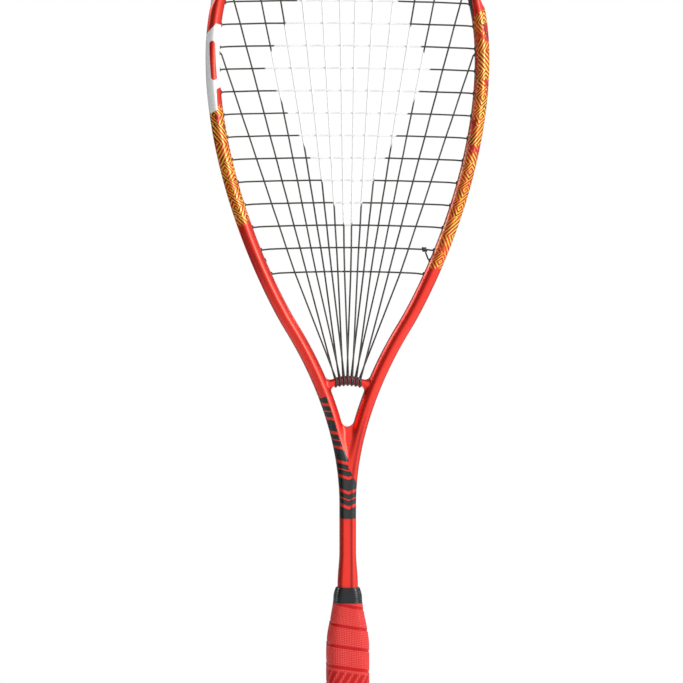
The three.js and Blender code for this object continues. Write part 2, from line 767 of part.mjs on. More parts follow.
// A knot is a tight bead round the string that it is tied to.
function knot(place, host) {
  const along = host.clone().sub(place).normalize();
  const bead = new THREE.SphereGeometry(KNOT_RADIUS, 8, 6);
  bead.translate(place.x, place.y, place.z);
  const ends = [-4, 4].map((shift) => place.clone().addScaledVector(along, shift));
  return solid(bead).subtract(solid(sweep(polygon(6, KNOT_BORE), ends)));
}

function crossKnot() {
  return knot(crossKnotPlace(), insideEnd(CROSS_HOLES[1]));
}

function mainKnot() {
  return knot(mainKnotPlace(), insideEnd(MAIN_HOLES[5]));
}

// ---- Materials and assembly ---------------------------------------------------------

function paint(color, roughness, metalness = 0) {
  return new THREE.MeshStandardMaterial({ color, roughness, metalness });
}

const LACQUER = paint(0xd8281f, 0.25);
const MAROON = paint(0x5a1418, 0.5);
const STRING = paint(0x1b1b1e, 0.45);
const GUARD = paint(0xcfd0d2, 0.5);
const GROMMET = paint(0x3a3b40, 0.55);
const FOAM = paint(0xc9b48c, 0.9);
const CAP = paint(0x202022, 0.5);
const STEEL = paint(0xb8babd, 0.35, 1);
const GRIP = paint(0xc42a24, 0.8);
const TAPE = paint(0x26262a, 0.6);
const RUBBER = paint(0x161617, 0.7);

function frameHoles() {
  return bothSides(rods(RIGHT_HOLES, FRAME_HOLE_RADIUS, -TUBE_HALF_WIDTH - 1.5, GROOVE_FLOOR + 1));
}

const group = new THREE.Group();
const rightStrip = strip();
group.add(
  piece('hoop_tube', headHoop(frameHoles()), LACQUER),
  piece('shaft_tube', shaftTube(), LACQUER),
  piece('throat_bridge', throatBridge(), LACQUER),
  piece('bridge_sleeve', bridgeSleeve(), MAROON),
  piece('bumper_guard', bumperGuard(), GUARD),
  piece('grommet_strip_right', rightStrip, GROMMET),
  piece('grommet_strip_left', rightStrip.mirror([1, 0, 0]), GROMMET),
  piece('main_string', string(mainPath()), STRING),
  piece('cross_string', string(crossPath()), STRING),
  piece('cross_knot', crossKnot(), STRING),
  piece('main_knot_right', mainKnot(), STRING),
  piece('main_knot_left', mainKnot().mirror([1, 0, 0]), STRING),
  piece('pallet_right', pallet(1), FOAM),
  piece('pallet_left', pallet(-1), FOAM),
  piece('butt_cap', buttCap(), CAP),
  piece('staple_front', staple(true), STEEL),
  piece('staple_back', staple(false), STEEL),
  piece('grip_tape', gripTape(), GRIP),
  piece('finishing_tape', finishingTape(), TAPE),
  piece('rubber_collar', rubberCollar(), RUBBER),
);

export default group;
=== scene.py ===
"""Squash racket: the looks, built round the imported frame. Shapes are worked out in millimetres
in the racket's own frame (+Z towards the head, +X across the face, -Y the front) and written
to the meshes in metres."""
import math

import bmesh
import bpy
import numpy as np
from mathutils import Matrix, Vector


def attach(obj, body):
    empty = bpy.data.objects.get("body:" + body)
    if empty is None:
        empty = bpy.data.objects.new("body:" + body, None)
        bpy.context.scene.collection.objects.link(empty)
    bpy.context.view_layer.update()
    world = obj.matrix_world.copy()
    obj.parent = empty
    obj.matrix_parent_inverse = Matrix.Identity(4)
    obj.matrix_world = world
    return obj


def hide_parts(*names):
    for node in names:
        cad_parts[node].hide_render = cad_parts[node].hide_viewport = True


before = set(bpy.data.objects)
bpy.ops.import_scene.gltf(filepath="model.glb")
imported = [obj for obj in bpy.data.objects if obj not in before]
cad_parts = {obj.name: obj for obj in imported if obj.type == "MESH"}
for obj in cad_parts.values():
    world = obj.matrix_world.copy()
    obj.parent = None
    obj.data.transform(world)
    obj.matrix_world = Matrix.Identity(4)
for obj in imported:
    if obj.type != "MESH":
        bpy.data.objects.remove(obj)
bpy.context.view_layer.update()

MM = 0.001

# ---- Driving dimensions, the same as the solids' ----

WIDEST_Z = 553.7
HEAD_HALF = 96.0
HEAD_RISE = 126.9
HEAD_POWER = 2.1
FLANK = [(96.0, 553.7), (96.0, 482.0), (66.1, 408.3), (43.2, 368.1)]
THROAT = [(43.2, 368.1), (38.1, 359.1), (0.8, 304.9), (0.8, 236.3)]

HALF_W = 4.8
HALF_D = 9.0
GROOVE_DEPTH = 2.4
GROOVE_HALF = 2.3
GROOVE_END_Z = 392.0
BUMPER_END_Z = 590.0
BUMPER_FEATHER_Z = 587.0
BUMPER_SEAT = 2.4
ROOT_Z = 292.3
SHAFT_FLARE_Z = (204.0, 180.0)
SHAFT_FLARE = 1.35
SHAFT_FOOT_Z = 120.0

BRIDGE_TOP_Z = 328.2
BRIDGE_THICK = 6.2
BRIDGE_SAG = 3.2
BRIDGE_HALF_D = 7.0

STRING_R = 0.6
WEAVE = 0.64
GROOVE_STRING = 4.1
GROOVE_LANE = 1.25
CROSS_FIRST_Z = 401.5
CROSS_FIRST_PITCH = 17.0
CROSS_PITCH = 15.95
CROSS_COUNT = 16
CROSS_BOW = 1.8
MAIN_SLOPES = [0.0155, 0.0557, 0.1027, 0.1527]
MAIN_FEET = [2.2, 6.7, 11.0, 15.9, 21.9, 28.4, 36.6]
OUTER_MAIN_ROWS = {4: 15, 5: 13, 6: 10}
OUTER_DROP = 4.2
LOOP_PITCH = 2.84
BARREL_IN = -5.5
WRAP_PITCH = 14.6
WRAP_OFFSET = 9.95
PRINT_TURN = 7

# ---- Curves and rails ----


def vec(x, z, y=0.0):
    return np.array([x, y, z], float)


def bezier(corners, count):
    t = np.linspace(0, 1, count)[:, None]
    a, b, c, d = [np.array(p, float) for p in corners]
    return (1 - t) ** 3 * a + 3 * (1 - t) ** 2 * t * b + 3 * (1 - t) * t ** 2 * c + t ** 3 * d


def half_line():
    """Right half of the tube's centreline from the top of the head to the shaft, (x, z)."""
    angle = np.linspace(0, math.pi / 2, 900)
    power = 2 / HEAD_POWER
    crown = np.stack([HEAD_HALF * np.sin(angle) ** power,
                      WIDEST_Z + HEAD_RISE * np.cos(angle).clip(0) ** power], 1)
    shaft_z = np.linspace(THROAT[3][1], SHAFT_FOOT_Z, 200)[1:]
    shaft = np.stack([np.full_like(shaft_z, THROAT[3][0]), shaft_z], 1)
    return np.vstack([crown[:-1], bezier(FLANK, 600)[:-1], bezier(THROAT, 600), shaft])


LINE = half_line()
RUN = np.concatenate([[0], np.cumsum(np.linalg.norm(np.diff(LINE, axis=0), axis=1))])


def at_run(s):
    """Points on the centreline at distances s from the top."""
    s = np.atleast_1d(s)
    return np.stack([np.interp(s, RUN, LINE[:, 0]), np.interp(s, RUN, LINE[:, 1])], 1)


def out_at(s):
    """Outward directions in the plane of the face."""
    s = np.atleast_1d(s).astype(float)
    ahead = at_run(np.minimum(s + 1.0, RUN[-1]))
    behind = at_run(np.maximum(s - 1.0, 0))
    d = ahead - behind
    d[s < 1.0, 1] = 0
    n = np.stack([-d[:, 1], d[:, 0]], 1)
    return n / np.linalg.norm(n, axis=1)[:, None]


def run_at_z(z):
    return float(np.interp(-z, -LINE[:, 1], RUN))


def rail(s, offset, y=0.0):
    p = at_run(s)[0] + offset * out_at(s)[0]
    return vec(p[0], p[1], y)


def smooth(t):
    t = np.clip(t, 0, 1)
    return t * t * (3 - 2 * t)


def full_turn(count):
    return np.linspace(0, 2 * math.pi, count, endpoint=False)


ARM_DEEPER = 0.055
SHAFT_DEPTH = 0.92


def depth_scale(z):
    """The tube's depth at a height, as a share of its depth in the head."""
    arm = smooth((GROOVE_END_Z - z) / 55)
    shaft = smooth((330 - z) / 80)
    scale = 1 + ARM_DEEPER * arm
    return scale + (SHAFT_DEPTH - scale) * shaft


def nearest(points, line):
    """Distance of each point from the nearest point of a line."""
    gap = points[:, None, :] - line[None, :, :]
    return np.sqrt((gap ** 2).sum(2)).min(1)


# ---- Mesh helpers ----


def add_object(name, data):
    obj = bpy.data.objects.new(name, data)
    bpy.context.scene.collection.objects.link(obj)
    return obj


def finish_mesh(name, shape, slot, body="racket", uvs=None, sharp=40):
    """A named piece from (verts, faces) in millimetres, in its slot's material."""
    verts, faces = shape
    mesh = bpy.data.meshes.new(name)
    mesh.from_pydata([tuple(v) for v in np.asarray(verts) * MM], [], faces)
    if uvs is not None:
        layer = mesh.uv_layers.new(name="skin")
        flat = [value for face in uvs for pair in face for value in pair]
        layer.data.foreach_set("uv", flat)
    work = bmesh.new()
    work.from_mesh(mesh)
    bmesh.ops.remove_doubles(work, verts=work.verts, dist=1e-6)
    bmesh.ops.recalc_face_normals(work, faces=work.faces)
    work.to_mesh(mesh)
    work.free()
    mesh.polygons.foreach_set("use_smooth", [True] * len(mesh.polygons))
    mesh.set_sharp_from_angle(angle=math.radians(sharp))
    obj = add_object(name, mesh)
    mesh.materials.append(MATERIALS[slot])
    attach(obj, body)
    return obj


def ring_faces(stations, around, closed_along=False):
    """Quads between successive rings of one size."""
    faces = []
    last = stations if closed_along else stations - 1
    for i in range(last):
        a = i * around
        b = ((i + 1) % stations) * around
        for j in range(around):
            k = (j + 1) % around
            faces.append((a + j, a + k, b + k, b + j))
    return faces


def skin(rings, closed_along=False):
    """Vertices and faces through a stack of rings, capped or joined end to end."""
    rings = np.asarray(rings, float)
    stations, around = rings.shape[:2]
    faces = ring_faces(stations, around, closed_along)
    if not closed_along:
        faces.append(tuple(range(around)))
        faces.append(tuple((stations - 1) * around + j for j in range(around)))
    return rings.reshape(-1, 3), faces


def joined(parts):
    """Several (verts, faces) shapes as one."""
    verts, faces, start = [], [], 0
    for v, f in parts:
        verts.append(np.asarray(v))
        faces += [tuple(i + start for i in face) for face in f]
        start += len(v)
    return np.vstack(verts), faces


def fillet(points, radius=1.0, count=4):
    """Rounds each bend of a polyline."""
    points = [np.asarray(p, float) for p in points]
    result = [points[0]]
    for before, here, after in zip(points, points[1:], points[2:]):
        back, ahead = before - here, after - here
        lb, la = np.linalg.norm(back), np.linalg.norm(ahead)
        if lb < 1e-6 or la < 1e-6:
            continue
        if np.dot(back, ahead) / (lb * la) < -0.9995:
            result.append(here)
            continue
        reach = min(radius, 0.48 * lb, 0.48 * la)
        start, end = here + back / lb * reach, here + ahead / la * reach
        for t in np.linspace(0, 1, count):
            result.append((1 - t) ** 2 * start + 2 * t * (1 - t) * here + t * t * end)
    result.append(points[-1])
    return result


THROUGH = np.array([0.0, 1.0, 0.0])


def spoke(angle, side, up=THROUGH):
    """The direction at an angle in the plane of two unit vectors."""
    return math.cos(angle) * side + math.sin(angle) * up


def tube(points, radius, sides=8):
    """A closed round tube along points, carried without twist."""
    pts = [np.asarray(points[0], float)]
    for p in points[1:]:
        if np.linalg.norm(p - pts[-1]) > 0.02:
            pts.append(np.asarray(p, float))
    pts = np.array(pts)
    steps = np.diff(pts, axis=0)
    steps /= np.linalg.norm(steps, axis=1)[:, None]
    tangents = np.vstack([steps[:1], steps[:-1] + steps[1:], steps[-1:]])
    tangents /= np.linalg.norm(tangents, axis=1)[:, None]
    side = np.cross(tangents[0], THROUGH)
    if np.linalg.norm(side) < 0.1:
        side = np.cross(tangents[0], [1.0, 0.0, 0.0])
    rings = []
    for p, t in zip(pts, tangents):
        side = side - np.dot(side, t) * t
        side /= np.linalg.norm(side)
        up = np.cross(t, side)
        rings.append([p + radius * spoke(a, side, up) for a in full_turn(sides)])
    return skin(rings)


def mirror_x(points, sign=-1):
    """Points carried to the other side of the middle plane, or left as they are for sign 1."""
    return [p * np.array([sign, 1, 1]) for p in points]


# ---- Shader helpers ----


def operator(operation, swapped=False):
    """A method that joins a wire and another value with one Math node."""
    def method(self, *others):
        values = (*others, self) if swapped else (self, *others)
        return self.graph.math(operation, *values)
    return method


class Wire:
    """A shader value; each sum or comparison written with it becomes a node."""

    def __init__(self, graph, socket):
        self.graph = graph
        self.socket = socket

    __add__ = operator("ADD")
    __sub__ = operator("SUBTRACT")
    __rsub__ = operator("SUBTRACT", swapped=True)
    __mul__ = operator("MULTIPLY")
    __truediv__ = operator("DIVIDE")
    __mod__ = operator("MODULO")
    __abs__ = operator("ABSOLUTE")
    __gt__ = operator("GREATER_THAN")
    __lt__ = operator("LESS_THAN")
    floor = operator("FLOOR")
    fract = operator("FRACT")
    root = operator("SQRT")
    maximum = operator("MAXIMUM")
    minimum = operator("MINIMUM")


class Graph:
    """Makes and joins the nodes of one node tree."""

    def __init__(self, tree):
        self.nodes = tree.nodes
        self.links = tree.links

    def put(self, socket, value):
        if isinstance(value, Wire):
            self.links.new(value.socket, socket)
        else:
            socket.default_value = value

    def node(self, kind, inputs, **settings):
        made = self.nodes.new(kind)
        for key, value in settings.items():
            setattr(made, key, value)
        for key, value in inputs.items():
            self.put(made.inputs[key], value)
        return made

    def wire(self, kind, output, inputs, **settings):
        """One output of a new node."""
        return Wire(self, self.node(kind, inputs, **settings).outputs[output])

    def math(self, operation, *values):
        return self.wire("ShaderNodeMath", 0, dict(enumerate(values)), operation=operation)

    def mix(self, factor, low, high):
        return self.wire("ShaderNodeMix", 2, {0: factor, 6: low, 7: high}, data_type="RGBA")

    def place(self, kind="Object"):
        return self.wire("ShaderNodeTexCoord", kind, {})

    def split(self, vector):
        made = self.node("ShaderNodeSeparateXYZ", {0: vector})
        return [Wire(self, output) for output in made.outputs]

    def noise(self, scale, detail=3.0):
        return self.wire("ShaderNodeTexNoise", "Fac", {
            "Vector": self.place(), "Scale": scale, "Detail": detail, "Roughness": 0.55})

    def ramp(self, value, low, high, out_low=0.0, out_high=1.0):
        limits = dict(enumerate((value, low, high, out_low, out_high)))
        return self.wire("ShaderNodeMapRange", 0, limits, clamp=True)

    def band(self, value, low, high, edge):
        """1 between low and high, with soft edges."""
        rise = self.ramp(value, low - edge, low + edge)
        return rise * self.ramp(value, high - edge, high + edge, 1.0, 0.0)


class Shade(Graph):
    """One new material."""

    def __init__(self, name):
        self.material = bpy.data.materials.new(name)
        self.material.use_nodes = True
        super().__init__(self.material.node_tree)

    def uv(self):
        """The skin's coordinates in millimetres."""
        u, v, _ = self.split(self.wire("ShaderNodeUVMap", 0, {}, uv_map="skin"))
        return u * (1 / MM), v * (1 / MM)

    def bump(self, height, strength, distance, **after):
        inputs = {"Height": height, "Strength": strength, "Distance": distance, **after}
        return self.wire("ShaderNodeBump", 0, inputs)

    def surface(self, color, roughness, normal, **others):
        values = {"Base Color": color, "Roughness": roughness, "Normal": normal, **others}
        for name, value in values.items():
            self.put(self.nodes["Principled BSDF"].inputs[name.replace("_", " ")], value)
        return self.material


def rgb(r, g, b):
    """A display colour, 0 to 255, as a linear shader colour."""
    def linear(c):
        c /= 255
        return c / 12.92 if c <= 0.04045 else ((c + 0.055) / 1.055) ** 2.4
    return (linear(r), linear(g), linear(b), 1.0)


# ---- Materials ----

# The left tube's skin coordinates are shifted by this many metres.
LEFT = 2.0


FRET_CELL = 13.4


def fret_lines(m, u, v):
    """Square spirals, hatching and diamonds in cells along the beam; u, v in millimetres."""
    along = (u + v * 0.4) / FRET_CELL
    a = along.fract() - 0.5
    b = ((v - 1.2) / (FRET_CELL * 0.8)).fract() - 0.5
    p = a * 0.88 + b * 0.48
    q = b * 0.88 - a * 0.48
    turn = m.math("ARCTAN2", q, p) / (2 * math.pi)
    spiral = (abs(p).maximum(abs(q)) * 6.6 + turn).fract()
    hatch = ((p + q * 0.35) * 4.8).fract()
    counter = ((q - p * 0.2) * 6.0).fract()
    diamond = ((abs(a) + abs(b)) * 4.6).fract()
    kind = (along.floor() * 3.0 + 300.0) % 5.0
    picked = spiral
    for level, choice in ((0.5, hatch), (1.5, diamond), (2.5, spiral), (3.5, counter)):
        picked = m.wire("ShaderNodeMix", 0, {0: kind > level, 2: picked, 3: choice})
    return m.band(picked, 0.21, 0.60, 0.06)


def beam_pattern(m, run, v, right, left):
    """Colour and place of the line pattern on the two beams."""
    worn = m.ramp(m.noise(75.0, 4.0), 0.37, 0.42)
    inner_fade = m.ramp(v, 1.0, 4.4, 0.4, 1.0).maximum(left)
    lines = fret_lines(m, run, v) * (worn * inner_fade)
    tone = m.mix(m.ramp(m.noise(60.0, 2.0), 0.3, 0.6), rgb(255, 172, 28), rgb(255, 224, 76))
    ground = m.mix(m.ramp(m.noise(85.0), 0.46, 0.62), rgb(196, 30, 24), rgb(226, 68, 22))
    ground = m.mix(m.ramp(m.noise(130.0, 2.0), 0.53, 0.64), ground, rgb(140, 14, 20))
    on_right = right * m.band(run + v * 0.45, run_at_z(584), run_at_z(402.5), 0.8)
    on_left = left * m.band(run, run_at_z(519), run_at_z(436), 1.5)
    return m.mix(lines, ground, tone), on_right.maximum(on_left)


WHITE_BAND_Z = (577, 532)
WHITE_BAND_EDGE = 0.4
SLOT_Z = (566, 536)
SLOT_HALF = 11.8


def white_band(m, run, v, left):
    """Plain white band on the left beam: a slanted top, a stepped foot and a rounded slot."""
    top, foot = [run_at_z(z) for z in WHITE_BAND_Z]
    slanted = run - m.ramp(v, 4.0, 9.6) * 7.0
    stepped = run - m.ramp(v, 3.4, 4.2) * 14.5 + v * -0.35
    white = m.ramp(slanted, top - WHITE_BAND_EDGE, top + WHITE_BAND_EDGE)
    white *= m.ramp(stepped, foot - WHITE_BAND_EDGE, foot + WHITE_BAND_EDGE, 1.0, 0.0)
    slot_top, slot_foot = [run_at_z(z) for z in SLOT_Z]
    past = (abs(run - (slot_top + slot_foot) / 2) - SLOT_HALF).maximum(0.0)
    aside = v - m.ramp(run, slot_top, slot_foot, 5.5, 4.3)
    slot = m.ramp((past * past + aside * aside).root(), 1.9, 2.3, 1.0, 0.0)
    return left * white * (1.0 - slot)


BLOCK_PITCH = 10.6
BLOCKS_FOOT_Z = 227


def black_blocks(m, run, v, right, left):
    """Plain slanted blocks down the left arm, spreading over the whole shaft."""
    place = (run + v * 0.42 - run_at_z(315)) / BLOCK_PITCH
    phase = place.fract()
    every_other = place.floor() % 2.0 > 0.5
    slit = m.band(phase, 0.36, 0.43, 0.015) * every_other
    bars = m.band(phase, 0.0, 0.80, 0.02) * (1.0 - slit)
    outer = v > m.ramp(run, run_at_z(285), run_at_z(258), 4.9, -1.0)
    on_left = left * outer * m.band(run, run_at_z(314), run_at_z(BLOCKS_FOOT_Z), 0.3)
    inner = v < m.ramp(run, run_at_z(262), run_at_z(250), 3.0, 11.0)
    on_right = right * inner * m.band(run, run_at_z(262), run_at_z(BLOCKS_FOOT_Z), 0.3)
    return bars * on_left.maximum(on_right)


def lacquer():
    """Metallic red; u runs along the tube from the top of the head, v from the inner wall out."""
    m = Shade("frame_lacquer")
    u, v = m.uv()
    left = u > LEFT / MM / 2
    right = 1.0 - left
    run = u - left * (LEFT / MM)

    color = m.mix(m.noise(40.0), rgb(250, 48, 34), rgb(255, 62, 46))
    # Painted shade: a dark maroon stripe down the right side of the shaft stands in for the dark
    # reflection band on that face.
    painted_shade_stripe = right * m.band(v, 5.3, 6.9, 0.5) * m.band(run, run_at_z(300), run_at_z(150), 12.0)
    color = m.mix(painted_shade_stripe * 0.7, color, rgb(120, 14, 22))
    fret, place = beam_pattern(m, run, v, right, left)
    color = m.mix(place, color, fret)
    # Painted shade: dark grey along the inner edge of the right tube's face, high on the head, on
    # the right side only; strip_low and strip_top set its width.
    strip_low = m.ramp(run, run_at_z(600), run_at_z(584), 2.2, 0.0)
    strip_top = m.ramp(run, run_at_z(676), run_at_z(655), 0.0, 2.2)
    painted_inner_shade = right * (abs(v) < strip_low.minimum(strip_top))
    color = m.mix(painted_inner_shade, color, rgb(92, 98, 98))
    white = white_band(m, run, v, left)
    color = m.mix(white, color, rgb(246, 247, 248))
    black = black_blocks(m, run, v, right, left)
    color = m.mix(black, color, rgb(16, 20, 21))

    metal = m.ramp(white.maximum(black), 0.0, 1.0, 0.72, 0.0) * m.ramp(place, 0.0, 1.0, 1.0, 0.4)
    rough = m.ramp(m.noise(25.0, 4.0), 0.3, 0.7, 0.26, 0.36)
    return m.surface(color, rough, m.bump(m.noise(900.0, 2.0), 0.01, 0.0004),
                     Metallic=metal, Coat_Weight=0.35, Coat_Roughness=0.32)


def plain(name, low, high, rough, scale=60.0, bump=0.15, grain=700.0, metallic=0.0):
    m = Shade(name)
    color = m.mix(m.noise(scale, 4.0), low, high)
    wear = m.ramp(m.noise(scale * 0.7, 5.0), 0.3, 0.7, rough - 0.06, rough + 0.08)
    return m.surface(color, wear, m.bump(m.noise(grain), bump, 0.0002), Metallic=metallic)


DIAMOND_Z = 0.548
DIAMOND_HALF = (0.060, 0.118)


def string_material():
    """Black coated string with a plain white diamond printed over the face."""
    m = Shade("string_black")
    x, _, z = m.split(m.place())
    reach = abs(x) / DIAMOND_HALF[0] + abs(z - DIAMOND_Z) / DIAMOND_HALF[1]
    diamond = m.ramp(reach, 0.985, 1.0, 1.0, 0.0)
    patchy = m.ramp(m.noise(900.0), 0.22, 0.32)
    black = m.mix(m.noise(400.0), rgb(40, 42, 38), rgb(70, 70, 64))
    color = m.mix(diamond * patchy, black, rgb(240, 240, 240))
    twist = m.noise(2600.0, 2.0)
    return m.surface(color, m.ramp(twist, 0.3, 0.7, 0.32, 0.5), m.bump(twist, 0.2, 0.0001))


DOT_PITCH = 1.25


def grip_material():
    """Stitched red wrap: u runs round the handle, v across the turns of the wrap."""
    m = Shade("grip_red")
    u, v = m.uv()
    phase = (v / WRAP_PITCH).fract()
    dot_u = abs((u / DOT_PITCH).fract() - 0.5)
    dot_v = abs((v / DOT_PITCH).fract() - 0.5)
    raised = m.ramp((dot_u * dot_u + dot_v * dot_v).root(), 0.12, 0.44, 1.0, 0.0)
    seam = m.ramp(phase, 0.12, 0.145, 1.0, 0.0).maximum(m.ramp(phase, 0.975, 0.99))
    base = m.mix(m.noise(35.0, 4.0), rgb(255, 76, 66), rgb(255, 106, 94))
    # Painted shade: the ground between the raised dots is darkened as shadow in the recesses.
    base = m.mix((1.0 - raised) * 0.85, base, rgb(206, 20, 28))

    # Plain slanted bars pressed into one turn of the wrap.
    bars = m.band(((u + v * -0.55) / 5.0).fract(), 0.1, 0.72, 0.03)
    on_turn = m.math("COMPARE", (v / WRAP_PITCH).floor(), PRINT_TURN, 0.5)
    pressed = bars * (m.band(phase, 0.2, 0.84, 0.01) * on_turn)
    base = m.mix(pressed * 0.95, base, rgb(186, 4, 14))
    color = m.mix(seam, base, rgb(194, 2, 12))

    soft = raised * (1.0 - seam.maximum(pressed))
    leather = m.noise(1500.0, 4.0)
    normal = m.bump(leather, 0.2, 0.0002, Normal=m.bump(soft, 0.9, 0.0003))
    rough = m.ramp(leather, 0.3, 0.7, 0.26, 0.42)
    return m.surface(color, rough, normal, Specular_IOR_Level=0.3)


MATERIALS = {"frame_lacquer": lacquer(), "string_black": string_material(),
             "grip_red": grip_material()}

# Slot, two mixed colours and roughness; then the scale of the mix, bump, its grain, metallic.
for slot_name, *looks in (
        ("guard_white", rgb(214, 217, 218), rgb(232, 233, 232), 0.42),
        ("grommet_dark", rgb(44, 46, 50), rgb(66, 68, 72), 0.5),
        ("sleeve_maroon", rgb(112, 24, 32), rgb(142, 34, 40), 0.45),
        ("collar_rubber", rgb(8, 14, 15), rgb(15, 22, 23), 0.3, 90.0, 0.1),
        ("cap_black", rgb(24, 24, 26), rgb(38, 38, 40), 0.45),
        ("tape_black", rgb(26, 26, 28), rgb(44, 44, 46), 0.35),
        ("handle_foam", rgb(196, 172, 120), rgb(216, 194, 146), 0.85, 200.0, 0.5, 1600.0),
        ("staple_steel", rgb(150, 152, 156), rgb(190, 192, 196), 0.35, 200.0, 0.1, 3000.0, 1.0)):
    MATERIALS[slot_name] = plain(slot_name, *looks)

# ---- Frame ----

FRONT_T = np.array([-1, -0.94, -0.85, -0.7, -0.5, -0.3, -0.15, -0.06, 0,
                    0.06, 0.15, 0.3, 0.5, 0.7, 0.85, 0.94, 1])
RIDGE_SOFT = 0.55
FACET_SLOPE = 0.55
FACET_CURVE = 0.018
SHAFT_SLOPE = 0.2
EDGE_ROUND = 0.5
EDGE_START = 3.2
EDGE_SPAN = 1.6
OUTER_FALL = 3.0
SHAFT_CORNER = 0.58
SHAFT_EDGE_ROUND = 4.4
SHAFT_BLEND_Z = (292.0, 238.0)


def ridge_height(u):
    """Half depth of one tube at a distance u from its centreline."""
    a = np.abs(u)
    crest = np.sqrt(a * a + RIDGE_SOFT ** 2) - RIDGE_SOFT
    height = HALF_D - FACET_SLOPE * crest - FACET_CURVE * a ** 3
    height -= EDGE_ROUND * np.clip((a - EDGE_START) / EDGE_SPAN, 0, 1) ** 2.5
    return np.where(a > HALF_W, height - OUTER_FALL * (a - HALF_W), height)


def root_circle():
    """Radius of the rounded root that touches both arms, and the height where it does."""
    edge = LINE[(LINE[:, 1] > 285) & (LINE[:, 1] < 320)]
    runs = np.interp(-edge[:, 1], -LINE[:, 1], RUN)
    edge = edge - HALF_W * out_at(runs)
    for radius in np.arange(2.0, 9.0, 0.02):
        far = np.hypot(edge[:, 0], edge[:, 1] - ROOT_Z - radius)
        if far.min() <= radius:
            return radius, edge[np.argmin(far), 1]
    raise ValueError("the arms are too far apart for the root")


ROOT_RADIUS, ROOT_TOUCH_Z = root_circle()


def distance_to_left(points):
    """Distance of right-hand points from the left tube's centreline."""
    return nearest(points * np.array([-1.0, 1.0]), LINE[LINE[:, 1] < 360][::3])


def blended(a, b, soft):
    """A smooth maximum of two heights."""
    h = np.clip(0.5 + 0.5 * (a - b) / soft, 0, 1)
    return b + (a - b) * h + soft * h * (1 - h)


WEB_EDGE = 4.7
WEB_LEVEL = 6.4
WEB_RAMP = 9.0


def web_height(points):
    """Half depth of the web below the throat: low at the rounded root, level further down."""
    below = ROOT_Z + ROOT_RADIUS - points[:, 1]
    far = np.hypot(points[:, 0], np.maximum(below, 0)) - ROOT_RADIUS
    level = WEB_EDGE + (WEB_LEVEL - WEB_EDGE) * smooth(far / WEB_RAMP)
    return level - HALF_D * smooth((4.0 - below) / WEB_RAMP)


def shaft_height(points, wide):
    """Half depth of the shaft: two faces that lean back a little, with rounded corners."""
    a = np.abs(points[:, 0])
    height = HALF_D - SHAFT_SLOPE * (np.sqrt(a * a + RIDGE_SOFT ** 2) - RIDGE_SOFT)
    corner = np.clip((a / wide - SHAFT_CORNER) / (1 - SHAFT_CORNER), 0, 1)
    return height - SHAFT_EDGE_ROUND * (1 - np.sqrt(1 - 0.97 * corner ** 2))


def frame_height(points, u, wide):
    """Half depth of the whole frame at right-hand points; wide is the outer edge's x."""
    height = ridge_height(u)
    low = points[:, 1] < 345
    if low.any():
        other = ridge_height(distance_to_left(points[low]))
        merged = blended(height[low], other, 1.6)
        inside = smooth((-1.5 - u[low]) / 1.5)
        webbed = blended(merged, web_height(points[low]), 1.8)
        height[low] = merged + (webbed - merged) * inside
    share = smooth((SHAFT_BLEND_Z[0] - points[:, 1]) / (SHAFT_BLEND_Z[0] - SHAFT_BLEND_Z[1]))
    return height + (shaft_height(points, wide) - height) * share


def seat_level(z):
    """How far out the tube reaches: lower under the bumper, with a tapered end."""
    return HALF_W - (HALF_W - BUMPER_SEAT) * smooth((z - BUMPER_FEATHER_Z) / 9)


def inner_limit(centre, normal):
    """How far inwards a station reaches, and whether it meets the middle plane."""
    to_middle = -centre[0] / normal[0] if normal[0] > 0.2 else -1e3
    if to_middle > -HALF_W:
        return to_middle, True
    if centre[1] > 330:
        return -HALF_W, False
    reach = np.linspace(-HALF_W, to_middle, 200)
    pts = centre + reach[:, None] * normal
    under = ROOT_Z + ROOT_RADIUS - np.sqrt(np.clip(ROOT_RADIUS ** 2 - pts[:, 0] ** 2, 0, None))
    solid = (pts[:, 1] < under) | (np.abs(pts[:, 0]) > ROOT_RADIUS)
    if pts[0, 1] > ROOT_TOUCH_Z:
        return -HALF_W, False
    if solid.all():
        return to_middle, True
    return reach[np.argmin(solid)], False


def root_run():
    """Place along the arm whose normal crosses the middle plane at the foot of the root."""
    runs = np.linspace(run_at_z(ROOT_TOUCH_Z), run_at_z(ROOT_Z - 20), 2000)
    centres, normals = at_run(runs), out_at(runs)
    crossing = centres[:, 1] - centres[:, 0] / normals[:, 0] * normals[:, 1]
    return float(np.interp(-ROOT_Z, -crossing, runs))


def station_runs():
    """Places along the centreline: even, with close ones at the shoulders and the root."""
    runs = list(np.arange(0, RUN[-1], 2.0)) + [RUN[-1]]
    runs += list(run_at_z(GROOVE_END_Z) + np.array([-1.5, -1.0, -0.5, 0, 0.5]))
    runs += list(np.linspace(run_at_z(ROOT_TOUCH_Z + 6), run_at_z(ROOT_Z - 6), 60))
    runs = sorted(runs + [root_run() + 0.01])
    kept = [runs[0]]
    for s in runs[1:]:
        if s - kept[-1] > 0.08:
            kept.append(s)
    return np.array(kept)


